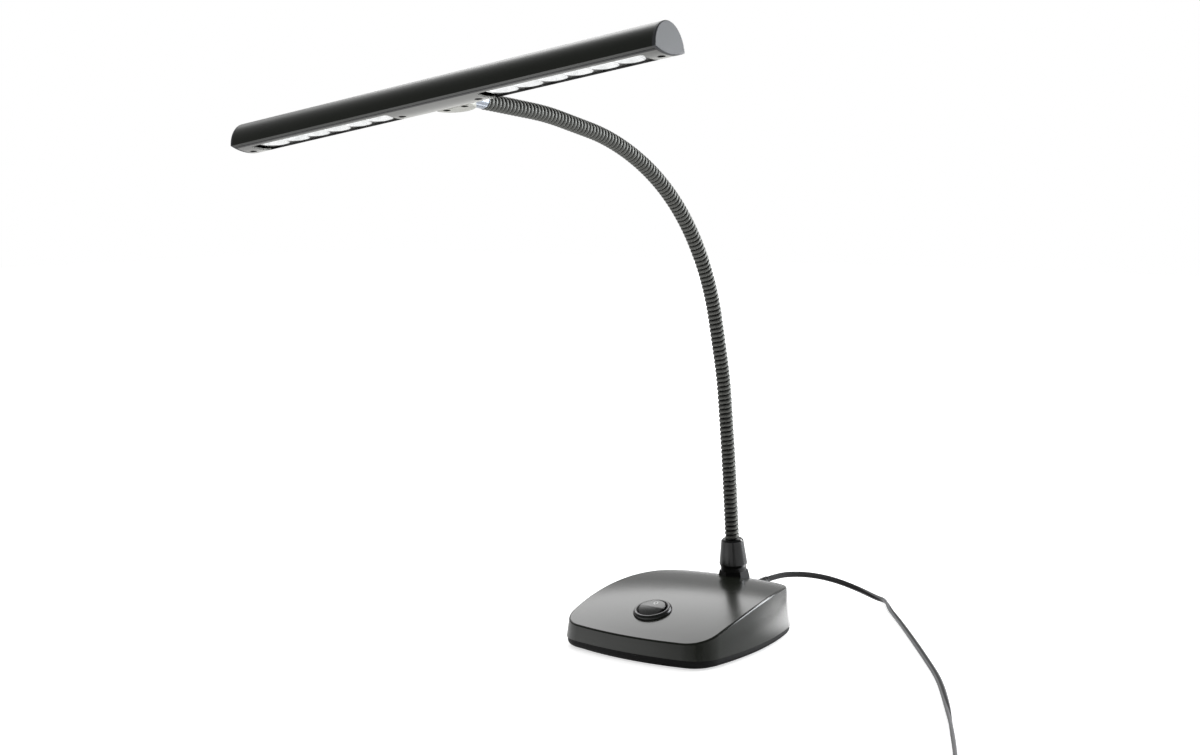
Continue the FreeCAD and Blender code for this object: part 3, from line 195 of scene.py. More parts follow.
def moulded(name, color, roughness, grain=0.00045, depth=0.000012, clouds=0.06, shine=0.5):
    finish = Finish(name, color, roughness, Specular_IOR_Level=shine)
    cloud = finish.noise(CLOUD_SIZE, 3)
    fine = finish.noise(grain, 2)
    finish.set("Roughness", cloud * clouds + (roughness - clouds / 2))
    darker, paler = (tuple(c * (1 + sign * CLOUD_CONTRAST) for c in color) for sign in (-1, 1))
    finish.set("Base Color", finish.mix(cloud, darker, paler))
    finish.bump(fine, depth)
    return finish.material


base_satin = moulded("base_satin", (0.009, 0.0105, 0.0075), 0.2, depth=0.000003, clouds=0.02, shine=0.42)
tray_plastic = moulded("tray_plastic", (0.004, 0.004, 0.004), 0.6, shine=0.2)
cap_plastic = moulded("cap_plastic", (0.030, 0.033, 0.036), 0.45)
adapter_plastic = moulded("adapter_plastic", (0.012, 0.012, 0.013), 0.55, depth=0.00003)
switch_gloss = moulded("switch_gloss", (0.010, 0.011, 0.010), 0.26, depth=0.000003, shine=0.4)
pad_rubber = moulded("pad_rubber", (0.015, 0.015, 0.015), 0.85, grain=0.0012, depth=0.00005)
relief_rubber = moulded("relief_rubber", (0.010, 0.010, 0.011), 0.5)
black_screw = moulded("black_screw", (0.003, 0.003, 0.003), 0.8, shine=0.05)
hub_pale = moulded("hub_pale", (0.52, 0.52, 0.47), 0.4)
mark_white = moulded("mark_white", (0.75, 0.76, 0.76), 0.4, depth=0.000002)


# %% [markdown]
# ## Painted and bare metal
# The light bar is an aluminium extrusion with a satin dark coat. Extrusion leaves very fine lines
# along its length, which are noise stretched a hundredfold along the bar. The neck is gunmetal, the
# ferrule is chrome, and the hidden fasteners are zinc.

# %% Metals
SHEEN_SIZE = 20 * MM
SHEEN_SHADE = 0.9
LINE_ROUGHNESS = 0.08
SHEEN_ROUGHNESS = 0.06


def metal(name, color, roughness, scratch=0.0006, depth=0.000004, stretch=(1, 1, 1), metallic=1.0):
    finish = Finish(name, color, roughness, Metallic=metallic)
    lines = finish.noise(scratch, 2, stretch)
    sheen = finish.noise(SHEEN_SIZE, 2)
    smoothest = roughness - (LINE_ROUGHNESS + SHEEN_ROUGHNESS) / 2
    finish.set("Roughness", lines * LINE_ROUGHNESS + sheen * SHEEN_ROUGHNESS + smoothest)
    finish.set("Base Color", finish.mix(sheen, tuple(c * SHEEN_SHADE for c in color), color))
    finish.bump(lines, depth)
    return finish.material


ALONG_BAR = (0.01, 1, 1)
bar_coat = metal("bar_coat", (0.013, 0.015, 0.0115), 0.34, stretch=ALONG_BAR, metallic=0.0)
foot_gloss = metal("foot_gloss", (0.006, 0.006, 0.006), 0.16, depth=0.000001, metallic=0.0)
chrome = metal("chrome", (0.38, 0.41, 0.46), 0.2, depth=0.0000005)
zinc = metal("zinc", (0.55, 0.55, 0.56), 0.32)
cast_iron = metal("cast_iron", (0.12, 0.12, 0.125), 0.62, scratch=0.002, depth=0.00005)
brass = metal("brass", (0.72, 0.52, 0.22), 0.28)

# %% [markdown]
# The hose's grooves see little light. A number painted on its mesh, 0 on a rib's crest and 1 in a
# groove, darkens the steel there.

# %% The hose's steel
CREST_STEEL = (0.15, 0.152, 0.142)
GROOVE_STEEL = (0.005, 0.005, 0.005)
GROOVE_PLACE, GROOVE_SOFT = 0.24, 0.36  # as shares of a rib's depth
CREST_ROUGHNESS = 0.52
GROOVE_ROUGHER = 0.2

hose_steel = Finish("hose_steel", CREST_STEEL, 0.4, Metallic=1.0)
groove = hose_steel.node("ShaderNodeAttribute", {"attribute_name": "groove"}, output="Fac")
shade = groove.step(GROOVE_PLACE, GROOVE_SOFT)
hose_steel.set("Base Color", hose_steel.mix(shade, CREST_STEEL, GROOVE_STEEL))
hose_steel.set("Roughness", shade * GROOVE_ROUGHER + hose_steel.noise(0.01) * 0.06 + CREST_ROUGHNESS)

# %% [markdown]
# The supply lead has two strands with a dark groove between them. The mesh says where that is: its
# painted number is 0 in the groove and grows towards the outside, and less so where the lead is in
# the air. The rubber is painted pale away from the groove, as a painted highlight on each strand's top,
# which fades where the lead is in the air.

# %% The lead's rubber
STRAND_DARK = (0.008, 0.008, 0.008)
STRAND_HIGHLIGHT = (0.165, 0.165, 0.17)
HIGHLIGHT_PLACE, HIGHLIGHT_SOFT = 0.75, 0.4  # millimetres from the groove

lead_rubber = Finish("lead_rubber", STRAND_DARK, 0.4, Specular_IOR_Level=0.1)
beside_groove = lead_rubber.node("ShaderNodeAttribute", {"attribute_name": "beside_groove"}, output="Fac")
# painted highlight on each strand's top, away from the groove
strand_highlight = beside_groove.step(HIGHLIGHT_PLACE, HIGHLIGHT_SOFT)
lead_rubber.set("Base Color", lead_rubber.mix(strand_highlight, STRAND_DARK, STRAND_HIGHLIGHT))
lead_rubber.set("Roughness", lead_rubber.noise(0.004) * 0.1 + 0.35)

# %% [markdown]
# ## The light bar's frame
# The light bar is turned with the neck's end and tilted about the swivel. One matrix leads from the
# bar's own frame into the scene. The finishes of the lamps and the places of the screws need it.

# %% The light bar's frame
BAR_TILT = math.radians(8.85)
BAR_BACK = 34.05
AXLE_HEIGHT = 5.8

swivel_back = -Vector(joints["head_swivel"]["axis"])
bar_turn = Matrix((Vector((1, 0, 0)), swivel_back, Vector((1, 0, 0)).cross(swivel_back))).transposed()
bar_place = (
    Matrix.Translation(joints["head_swivel"]["pos_m"])
    @ bar_turn.to_4x4()
    @ Matrix.Rotation(-BAR_TILT, 4, "Y")
    @ Matrix.Translation(Vector((0, -BAR_BACK, -AXLE_HEIGHT)) * MM)
)

# %% [markdown]
# ## Parts that give light
# Each window shows a row of cells: a round white cup with a lamp at its bottom. The lamp is a soft
# yellow square that glows. The cups are glossy white and glow too, since light bounces in them. The
# strip they are sunk into is pale in front and darker behind, so each row has a scalloped edge.

# %% Lamps, cups and boards
CELL_PITCH = 14.8 * MM
CELL_MIDDLE = 77.5 * MM  # the middle of each row, from the middle of the bar
CELL_RADIUS = 7.1 * MM
CELL_EDGE = 0.5 * MM
CELL_WHITE = (0.86, 0.87, 0.87)
CHIP_LENGTH = 3.4 * MM
CHIP_WIDTH = 1.5 * MM
CHIP_PLACE = -1.2 * MM
CHIP_SOFT = 1.2 * MM
STRIP_FRONT = (0.86, 0.87, 0.84)
STRIP_BACK = (0.16, 0.16, 0.155)
STRIP_FADE = 4 * MM
CHIP_GREY = (0.34, 0.38, 0.35)
RIPPLE_GREY = (0.62, 0.64, 0.64)
RIPPLE_SIZE = 3.5 * MM
RIPPLE_PLACE, RIPPLE_SOFT = 0.45, 0.3


def on_bar(finish, column):
    """A coordinate in the bar's frame: 0 runs along the bar and 1 across it, to the back."""
    offset = finish.vector("SUBTRACT", finish.place(), tuple(bar_place.translation))
    return finish.vector("DOT_PRODUCT", offset, tuple(bar_place.col[column].xyz), output="Value")


def within_cell(finish):
    """How far a point lies along the bar from the middle of its own cell, and across the bar."""
    pitches = (abs(on_bar(finish, 0)) - CELL_MIDDLE) / CELL_PITCH
    return (pitches.math("FRACT") - 0.5) * CELL_PITCH, on_bar(finish, 1)


def cells_of(finish):
    """1 inside the round cells and 0 outside them."""
    along_cell, across = within_cell(finish)
    radius = (along_cell * along_cell + across * across) ** 0.5
    return 1 - radius.step(CELL_RADIUS, CELL_EDGE)


def chips_of(finish):
    """1 on the grey image of the lamp that each cup mirrors, and 0 beside it."""
    along_cell, across = within_cell(finish)
    past_end = abs(along_cell).step(CHIP_LENGTH, CHIP_SOFT)
    past_side = abs(across - CHIP_PLACE).step(CHIP_WIDTH, CHIP_SOFT)
    return 1 - past_end.math("MAXIMUM", past_side)


LAMP_STRENGTH = 0.1
CUP_STRENGTH = 0.3

lamp_glow = Finish("lamp_glow", (0.55, 0.53, 0.46), 0.35, Emission_Strength=LAMP_STRENGTH)
lamp_glow.set("Emission Color", (1.0, 0.98, 0.93))
cup_white = Finish("cup_white", CELL_WHITE, 0.22, Emission_Strength=CUP_STRENGTH)
cells = cells_of(cup_white)
waves = cup_white.noise(RIPPLE_SIZE).step(RIPPLE_PLACE, RIPPLE_SOFT)
ripple = cup_white.mix(waves, RIPPLE_GREY, (1.0, 1.0, 1.0))
strip = cup_white.mix(on_bar(cup_white, 1).step(0.0, STRIP_FADE), STRIP_FRONT, STRIP_BACK)
chips = chips_of(cup_white)
cup_white.set("Base Color", cup_white.mix(cells, strip, cup_white.mix(chips, CELL_WHITE, CHIP_GREY)))
glow = cup_white.mix(chips, ripple, CHIP_GREY)
cup_white.set("Emission Color", cup_white.mix(cells, (0.0, 0.0, 0.0), glow))
board_mask = Finish("board_mask", (0.80, 0.82, 0.80), 0.4)
board_mask.set("Roughness", board_mask.noise(0.002) * 0.2 + 0.3)

# %% [markdown]
# The underside plate is painted paler towards the bar's back: painted light, as the light that spills
# onto it there. A dark line of painted shade runs along its joint with the lip, and the windows' rear
# edges are painted dark with the same shade.

# %% The underside plate
PLATE_FRONT = (0.24, 0.24, 0.23)
PLATE_SPILL = (0.62, 0.62, 0.58)
JOINT_SHADE = (0.03, 0.03, 0.03)
SPILL_PLACE, SPILL_WIDTH = 2 * MM, 16 * MM
JOINT_PLACE, JOINT_SOFT = -8.3 * MM, 0.8 * MM
WINDOW_EDGE = 7.0 * MM
WINDOW_ENDS = (29.0 * MM, 126.0 * MM)
EDGE_WIDTH, EDGE_SOFT = 0.25 * MM, 0.1 * MM

plate_coat = Finish("plate_coat", PLATE_FRONT, 0.36, Metallic=0.6)
plate_across = on_bar(plate_coat, 1)
# painted light: the plate pales towards the back, where light spills onto it
painted_spill = plate_coat.mix(plate_across.step(SPILL_PLACE, SPILL_WIDTH), PLATE_FRONT, PLATE_SPILL)
plate_along = abs(on_bar(plate_coat, 0))
beside_edge = abs(plate_across - WINDOW_EDGE).step(EDGE_WIDTH, EDGE_SOFT)
before_window = 1 - plate_along.step(WINDOW_ENDS[0], EDGE_SOFT)
past_window = plate_along.step(WINDOW_ENDS[1], EDGE_SOFT)
off_edge = beside_edge.math("MAXIMUM", before_window).math("MAXIMUM", past_window)
# painted shade: a dark line along the joint with the lip and along the windows' rear edges
off_joint = plate_across.step(JOINT_PLACE, JOINT_SOFT)
plate_coat.set("Base Color", plate_coat.mix(off_joint * off_edge, JOINT_SHADE, painted_spill))
plate_coat.set("Roughness", plate_coat.noise(0.0006, 2, ALONG_BAR) * 0.08 + 0.32)

# %% [markdown]
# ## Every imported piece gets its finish
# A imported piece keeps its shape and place. Only its material slots are filled. The pieces that are
# modelled anew further down are left out.

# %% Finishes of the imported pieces
finish_of = {
    base_satin: ["base_cover"],
    tray_plastic: ["base_tray", "neck_flange"],
    pad_rubber: ["base_pad"],
    zinc: [
        "tray_screws",
        "ballast_screws",
        "neck_nipple",
        "neck_washer",
        "neck_lock_nut",
        "swivel_stud",
        "swivel_clip",
        "hub_web_screws",
    ],
    cast_iron: ["ballast_plate"],
    brass: ["switch_terminals", "adapter_prongs"],
    relief_rubber: ["inner_supply_lead", "inner_lamp_lead", "head_lead"],
    foot_gloss: ["neck_collar"],
    chrome: ["neck_ferrule"],
    bar_coat: ["head_shell", "head_hub"],
    hub_pale: ["hub_cover"],
    plate_coat.material: ["underside_plate"],
    cap_plastic: ["end_cap_left", "end_cap_right"],
    board_mask.material: ["led_board_left", "led_board_right"],
    lamp_glow.material: ["led_chips_left", "led_chips_right"],
    cup_white.material: ["reflector_left", "reflector_right"],
    adapter_plastic: ["adapter_body"],
}
for material, names in finish_of.items():
    for name in names:
        nodes[name].data.materials.clear()
        nodes[name].data.materials.append(material)
print(sum(len(names) for names in finish_of.values()), "packed pieces have their finish")


# %% [markdown]
# ## Working in edit mode from code
# Operators act on what is selected. These helpers clear the selection, pick faces or edges by a test
# on their place, and settle a finished piece: its place goes into its mesh, and its faces point out.

# %% Helpers for modelling
WELD = 1e-6  # points closer than this become one, in metres


def start_clean():
    if bpy.context.mode != "OBJECT":
        bpy.ops.object.mode_set(mode="OBJECT")
    bpy.ops.object.select_all(action="DESELECT")


def take(piece):
    """Makes the piece the only one selected, and active."""
    start_clean()
    piece.select_set(True)
    bpy.context.view_layer.objects.active = piece


def select_where(piece, domain, test):
    """Selects the faces or edges whose middle passes the test."""
    bpy.ops.object.mode_set(mode="EDIT")
    mesh = bmesh.from_edit_mesh(piece.data)
    bpy.ops.mesh.select_all(action="DESELECT")
    items = mesh.faces if domain == "FACE" else mesh.edges
    for item in items:
        middle = sum((v.co for v in item.verts), Vector()) / len(item.verts)
        if test(middle, item):
            item.select_set(True)
    bmesh.update_edit_mesh(piece.data)


def bisect(piece, point, normal, fill=True):
    """Cuts the piece with a plane and drops what lies on the normal's side."""
    take(piece)
    bpy.ops.object.mode_set(mode="EDIT")
    bpy.ops.mesh.select_all(action="SELECT")
    bpy.ops.mesh.bisect(plane_co=point, plane_no=normal, use_fill=fill, clear_outer=True)
    bpy.ops.object.mode_set(mode="OBJECT")


def modify(piece, kind, **settings):
    """Adds a modifier and applies it at once."""
    take(piece)
    modifier = piece.modifiers.new(kind.title(), kind)
    for name, value in settings.items():
        setattr(modifier, name, value)
    bpy.ops.object.modifier_apply(modifier=modifier.name)


def copy_of(piece, name):
    twin = piece.copy()
    twin.data = piece.data.copy()
    twin.name = name
    bpy.context.collection.objects.link(twin)
    return twin


def settle(piece, name, material, body=None, replaces=(), angle=35):
    """Finishes a piece: its place goes into its mesh, then its name, finish and body are set."""
    take(piece)
    bpy.ops.object.transform_apply(location=True, rotation=True, scale=True)
    bpy.ops.object.mode_set(mode="EDIT")
    bpy.ops.mesh.select_all(action="SELECT")
    bpy.ops.mesh.remove_doubles(threshold=WELD)
    bpy.ops.mesh.normals_make_consistent(inside=False)
    bpy.ops.object.mode_set(mode="OBJECT")
    bpy.ops.object.shade_smooth_by_angle(angle=math.radians(angle))
    piece.name = name
    piece.data.name = name
    piece.data.materials.clear()
    piece.data.materials.append(material)
    if body:
        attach(piece, body)
    if replaces:
        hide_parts(*replaces)
    return piece


# %% [markdown]
# ## The neck's line
# Sixteen rigid sections stand for the bending neck, joined at fifteen pivots. The hose lies on a
# smooth curve of order three with the pivots as control points.

# %% The neck's pivots and its curve
SECTION_BODIES = ["base"] + [f"neck_{i:02d}" for i in range(2, 17)]
joint_of = {joint["child"]: joint for joint in joints.values()}
pivots = [Vector(joint_of[body]["pos_m"]) for body in SECTION_BODIES[1:]]
neck_start = pivots[0] * 2 - pivots[1]
neck_end = Vector(joints["head_swivel"]["pos_m"])
neck_points = [neck_start, *pivots, neck_end]
directions = [(b - a).normalized() for a, b in zip(neck_points, neck_points[1:])]
neck_length = sum((b - a).length for a, b in zip(neck_points, neck_points[1:]))
print("the neck is", round(neck_length / MM), "mm long")


def nurbs(name, points, steps=12):
    """A smooth curve of order three with these control points, which starts and ends at the outer two."""
    curve = bpy.data.curves.new(name, "CURVE")
    curve.dimensions = "3D"
    curve.resolution_u = steps
    spline = curve.splines.new("NURBS")
    spline.points.add(len(points) - 1)
    for point, place in zip(spline.points, points):
        point.co = (*place, 1)
    spline.use_endpoint_u = True
    spline.order_u = 3
    item = bpy.data.objects.new(name, curve)
    bpy.context.collection.objects.link(item)
    return item


neck_line = nurbs("neck_line", neck_points)

# %% [markdown]
# ## The hose
# A gooseneck is a steel wire wound so tightly that it holds its shape. One rib of its outline, turned
# round the axis and pushed on by one pitch per turn, is exactly what the Screw modifier makes. The
# straight hose is then laid along the neck's line with a Curve modifier.

# %% Wind the hose
HOSE_RADIUS = 4.15 * MM
RIB_DEPTH = 0.95 * MM
PITCH = 2.85 * MM
RIB_POINTS = 7
ROUND_STEPS = 28


def rib_outline():
    """Half a rib's circle from one groove to the next, along X, at the hose's radius."""
    start_clean()
    upright = (math.pi / 2, 0, 0)
    bpy.ops.mesh.primitive_circle_add(vertices=2 * (RIB_POINTS - 1), radius=PITCH / 2, rotation=upright)
    outline = bpy.context.object
    bpy.ops.object.transform_apply(rotation=True)
    bisect(outline, (0, 0, 0), (0, 0, -1), fill=False)
    select_where(outline, "EDGE", lambda middle, edge: True)
    bpy.ops.transform.resize(value=(1, 1, RIB_DEPTH / (PITCH / 2)))
    bpy.ops.transform.translate(value=(0, 0, HOSE_RADIUS - RIB_DEPTH))
    bpy.ops.object.mode_set(mode="OBJECT")
    return outline


def straight_hose(length):
    hose = rib_outline()
    turns = math.ceil(length / PITCH) + 2
    modify(
        hose,
        "SCREW",
        axis="X",
        screw_offset=PITCH,
        iterations=turns,
        steps=ROUND_STEPS,
        render_steps=ROUND_STEPS,
        use_merge_vertices=True,
        merge_threshold=WELD,
    )
    bisect(hose, (length, 0, 0), (1, 0, 0))
    bisect(hose, (0, 0, 0), (-1, 0, 0))
    return hose


def paint_grooves(hose):
    """Stores how deep each point lies below the ribs' crests, from 0 to 1."""
    depths = hose.data.attributes.new("groove", "FLOAT", "POINT")
    for vertex, depth in zip(hose.data.vertices, depths.data):
        depth.value = (HOSE_RADIUS - vertex.co.yz.length) / RIB_DEPTH


hose = straight_hose(neck_length)
paint_grooves(hose)
modify(hose, "CURVE", object=neck_line, deform_axis="POS_X")
print("the hose has", len(hose.data.polygons), "faces")

# %% [markdown]
# Each section carries its own length of hose, cut at the pivots. A ball round each pivot fills the
# hose from inside, so a bend opens the ribs a little and never shows daylight between them.

# %% Cut the hose at every pivot
BALL_RADIUS = 2.8 * MM


def across_pivot(number):
    """The normal of the cut at this neck point, halfway between the sections that meet there."""
    return (directions[number - 1] + directions[number]).normalized()


def add_ball(piece, place):
    """Joins a ball to the piece, painted as dark as the bottom of a groove."""
    bpy.ops.mesh.primitive_uv_sphere_add(
        segments=ROUND_STEPS, ring_count=ROUND_STEPS // 2, radius=BALL_RADIUS, location=place
    )
    ball = bpy.context.object
    depths = ball.data.attributes.new("groove", "FLOAT", "POINT")
    for depth in depths.data:
        depth.value = 1
    take(ball)
    piece.select_set(True)
    bpy.context.view_layer.objects.active = piece
    bpy.ops.object.join()


last = len(SECTION_BODIES) - 1
for index, body in enumerate(SECTION_BODIES):
    name, section = f"hose_{index + 1:02d}", f"neck_section_{index + 1:02d}"
    piece = copy_of(hose, name)
    if index > 0:
        bisect(piece, neck_points[index], -across_pivot(index))
    if index < last:
        bisect(piece, neck_points[index + 1], across_pivot(index + 1))
        add_ball(piece, neck_points[index + 1])
    settle(piece, name, hose_steel.material, body, [section], angle=60)
bpy.data.objects.remove(hose)
bpy.data.objects.remove(neck_line)

# %% [markdown]
# ## The lead
# A thin twin lead: two round strands side by side with a groove between them. It leaves the relief
# straight, droops to the table and runs forward past the lamp's right side. What lies beyond is
# wound into a neat coil, out of which a short end goes to the plug-in adapter. One spline of order
# three carries all of it. In the air and in the coil the lead stands on edge. On the table it lies
# flat, so the points there have a tilt.

# %% The lead's route before the coil, in millimetres
LEAD_WIDTH = 3.6
LEAD_THICKNESS = 2.0
LYING = LEAD_THICKNESS / 2
ON_EDGE = LEAD_WIDTH / 2 + 0.1  # where it stands on its edge
TURNING = 2.3  # where it goes over from its edge to its flat
HALF_TURNED = LYING + 0.4
TILTS = {8: 22, 9: 70} | {number: 90 for number in range(10, 15)}  # degrees, by the point's number
ROUTE = [
    (6.3, 77.9, 22.85),
    (7.6, 90.0, 23.4),
    (10.0, 102.0, 22.5),
    (14.5, 115.0, 20.5),
    (20.1, 128.7, 16.8),
    (26.5, 141.2, 11.7),
    (34.0, 150.7, 6.2),
    (43.3, 154.2, ON_EDGE),
    (53.3, 148.7, TURNING),
    (64.3, 132.7, HALF_TURNED),
    (82.3, 110.8, LYING),
    (108.2, 77.5, LYING),
    (136.6, 39.9, LYING),
    (162.6, 4.8, LYING),
    (185.2, -32.3, LYING),
    (207.3, -71.9, TURNING),
    (230.3, -113.6, ON_EDGE),
    (246.6, -146.4, ON_EDGE),
]

# %% [markdown]
# The coil has four layers of three turns. The first layer winds inwards, the next outwards, and so
# on, with a step sideways or upwards at the end of each turn, so the spline never jumps.

# %% The coil's turns and the short end behind it
COIL_CENTRE = Vector((246.5, -186.5, 0))
COIL_RADIUS = 16.8
COIL_ENTRY = math.radians(29)
COIL_EXIT = math.radians(-53)
COLUMN_STEP = 2.9
STAGGER = 0.725  # each layer nests into the one below
LAYERS = 4
EXIT_RADIUS = 20.1
EXIT_HEIGHT = 11.35
LAYER_STEP = (EXIT_HEIGHT - LEAD_WIDTH / 2) / (LAYERS - 1)
TAIL = 21.0
TAIL_SHARES = (0, 0.3, 0.65, 1)
POINTS_PER_TURN = 14
STEP_STARTS = 0.7  # the share of a turn after which it goes over to the next


def coil_point(angle, radius, height):
    return COIL_CENTRE + Vector((math.cos(angle) * radius, math.sin(angle) * radius, height))


def coil_turns():
    """Radius and height of each turn. The last is the outside turn of the top layer, where the end leaves.
    """
    columns = [COIL_RADIUS + step * COLUMN_STEP for step in (1, 0, -1)]
    places = []
    for layer in range(LAYERS):
        height = LEAD_WIDTH / 2 + layer * LAYER_STEP
        inwards = layer % 2 == 0
        for radius in columns if inwards else columns[::-1]:
            places.append((radius - STAGGER if inwards else radius + STAGGER, height))
    return places


def coil_points():
    """The points of all turns, wound clockwise, then those of the short straight end."""
    turns = coil_turns()
    last_sweep = (COIL_ENTRY - COIL_EXIT) % math.tau / math.tau
    points = []
    for number in range(round((len(turns) + last_sweep) * POINTS_PER_TURN)):
        turn, step = divmod(number, POINTS_PER_TURN)
        here = turns[min(turn, len(turns) - 1)]
        beyond = turns[min(turn + 1, len(turns) - 1)]
        share = max(0.0, step / POINTS_PER_TURN - STEP_STARTS) / (1 - STEP_STARTS)
        radius, height = (a + (b - a) * share for a, b in zip(here, beyond))
        points.append(coil_point(COIL_ENTRY - number / POINTS_PER_TURN * math.tau, radius, height))
    leaving = coil_point(COIL_EXIT, EXIT_RADIUS, EXIT_HEIGHT)
    way = Vector((math.sin(COIL_EXIT), -math.cos(COIL_EXIT), 0))
    return points + [leaving + way * TAIL * share for share in TAIL_SHARES]


lead_points = [Vector(point) * MM for point in ROUTE] + [point * MM for point in coil_points()]
lead_line = nurbs("lead_line", lead_points, steps=8)
lead_line.data.twist_mode = "Z_UP"
for number, tilt in TILTS.items():
    lead_line.data.splines[0].points[number].tilt = math.radians(tilt)
line_mesh = bpy.data.meshes.new_from_object(lead_line)
lead_path = [tuple(vertex.co) for vertex in line_mesh.vertices]
bpy.data.meshes.remove(line_mesh)
lead_length = sum((Vector(b) - Vector(a)).length for a, b in zip(lead_path, lead_path[1:]))
print("the lead is", round(lead_length, 3), "m long and has", len(lead_points), "points")

# %% [markdown]
# The outline of the lead is a closed curve of its own: two circles that run into each other. Set as
# the bevel object of the route it gives the tube with its groove, and the result becomes a mesh.

# %% Sweep the twin strands along the route
LOBE_STEPS = 10
FADE_HEIGHT = 8  # the height above the lying lead over which its painted highlight fades, in millimetres
AIR_FADE = 0.5


def twin_outline():
    """Two overlapping circles, one over the other."""
    radius = LEAD_THICKNESS / 2
    offset = LEAD_WIDTH / 2 - radius
    open_angle = math.pi - math.acos(offset / radius)
    points = []
    for side in (1, -1):
        for step in range(LOBE_STEPS):
            turn = open_angle * (1 - 2 * (step + 0.5) / LOBE_STEPS)
            points.append((side * math.sin(turn) * radius, side * (offset + math.cos(turn) * radius), 0))
    curve = bpy.data.curves.new("twin_outline", "CURVE")
    spline = curve.splines.new("POLY")
    spline.points.add(len(points) - 1)
    for point, place in zip(spline.points, points):
        point.co = (*(value * MM for value in place), 1)
    spline.use_cyclic_u = True
    outline = bpy.data.objects.new("twin_outline", curve)
    bpy.context.collection.objects.link(outline)
    return outline


def paint_groove(tube, offsets):
    """Stores how far each point is from the groove. The tube's rings repeat the outline's points."""
    values = tube.data.attributes.new("beside_groove", "FLOAT", "POINT")
    for vertex, value in zip(tube.data.vertices, values.data):
        rise = (vertex.co.z / MM - LEAD_WIDTH) / FADE_HEIGHT
        share = 1 - min(max(rise, 0), 1) * AIR_FADE
        value.value = min(offsets[vertex.index % len(offsets)], 1) * share


outline = twin_outline()
lead_line.data.bevel_mode = "OBJECT"
lead_line.data.bevel_object = outline
lead_line.data.use_fill_caps = True
take(lead_line)
bpy.ops.object.convert(target="MESH")
paint_groove(bpy.context.object, [abs(point.co.y) / MM for point in outline.data.splines[0].points])
lead = settle(bpy.context.object, "supply_lead", lead_rubber.material, "base", angle=50)
bpy.data.objects.remove(outline)
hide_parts("supply_cord", "cord_coil", "cord_tail")
print("the lead has", len(lead.data.polygons), "faces")

# %% [markdown]
# ## Turned pieces
# Anything round, such as a sleeve or a screw head, can be drawn as a lathe would turn it. We start
# from a filled circle and then extrude and scale it, step by step, along the piece's profile.

# %% A lathe made of extrude and scale
HAIR = 0.01  # a rise that keeps two rings of a profile apart, in millimetres


def lathe(profile, steps=40):
    """A closed turned piece along Z from (radius, height) pairs, in millimetres."""
    start_clean()
    (radius, height), *rest = profile
    foot = (0, 0, height * MM)
    bpy.ops.mesh.primitive_circle_add(vertices=steps, radius=radius * MM, fill_type="NGON", location=foot)
    piece = bpy.context.object
    bpy.ops.object.transform_apply(location=True)
    bpy.ops.object.mode_set(mode="EDIT")
    bpy.ops.mesh.select_all(action="SELECT")
    for next_radius, next_height in rest:
        rise = (0, 0, (next_height - height) * MM)
        bpy.ops.mesh.extrude_region_move(TRANSFORM_OT_translate={"value": rise})
        share = next_radius / radius
        centre = (0, 0, next_height * MM)
        bpy.ops.transform.resize(value=(share, share, 1), center_override=centre)
        radius, height = next_radius, next_height
    bpy.ops.object.mode_set(mode="OBJECT")
    return piece


def along(start, direction):
    """The frame at a point whose Z runs along a direction."""
    return Matrix.Translation(start) @ direction.to_track_quat("Z", "Y").to_matrix().to_4x4()


# %% [markdown]
# ## The switch's housing
# The switch sits in a turned housing. Its bezel is a full round, so it shows no more than a thin
# line of light, and the key swings in the well inside it.

# %% The bezel and the well
SWITCH_BARREL = 9.9
SWITCH_DEPTH = 13.0
WELL_RADIUS = 8.4
WELL_EDGE = 0.2
WELL_DEPTH = 7.0
WELL_LAST_RING = 0.5  # the well's floor ends there, and one small face closes it
BEZEL_RADIUS = 11.5
BEZEL_HEIGHT = 2.4
BEZEL_CREST = 10.0
BEZEL_STEPS = 8
SWITCH_STEPS = 72
SWITCH_SLOPE = math.radians(15.4)
PIVOT_HEIGHT = 0.8 * MM


def bezel_profile():
    """Up the barrel, over the bezel's quarter rounds and down into the well."""
    profile = [(SWITCH_BARREL, -SWITCH_DEPTH), (SWITCH_BARREL, -HAIR), (BEZEL_RADIUS, 0)]
    for width, start, stop in ((BEZEL_RADIUS - BEZEL_CREST, 0, 1), (BEZEL_CREST - WELL_RADIUS, 1, 2)):
        for step in range(1, BEZEL_STEPS):
            turn = (start + (stop - start) * step / BEZEL_STEPS) * math.pi / 2
            low = BEZEL_HEIGHT - min(width, BEZEL_HEIGHT) if start else 0
            height = low + (BEZEL_HEIGHT - low) * math.sin(turn)
            profile.append((BEZEL_CREST + width * math.cos(turn), height))
    return profile + [(WELL_RADIUS, WELL_EDGE), (WELL_RADIUS, -WELL_DEPTH), (WELL_LAST_RING, -WELL_DEPTH)]


housing = lathe(bezel_profile(), steps=SWITCH_STEPS)
housing.matrix_world = (
    Matrix.Translation(joints["switch_rock"]["pos_m"])
    @ Matrix.Rotation(SWITCH_SLOPE, 4, "X")
    @ Matrix.Translation((0, 0, -PIVOT_HEIGHT))
)
settle(housing, "switch_housing", switch_gloss, "base", ["switch_body"], angle=40)

# %% [markdown]
# ## The rocker key
# A rocker key is a round block with a low ridge across its top, so one half always lies level and
# the other slopes into the well. It starts as a cylinder. A cut through its middle gives the ridge,
# and each half of the top is turned down about that line. The ring marks the off side.

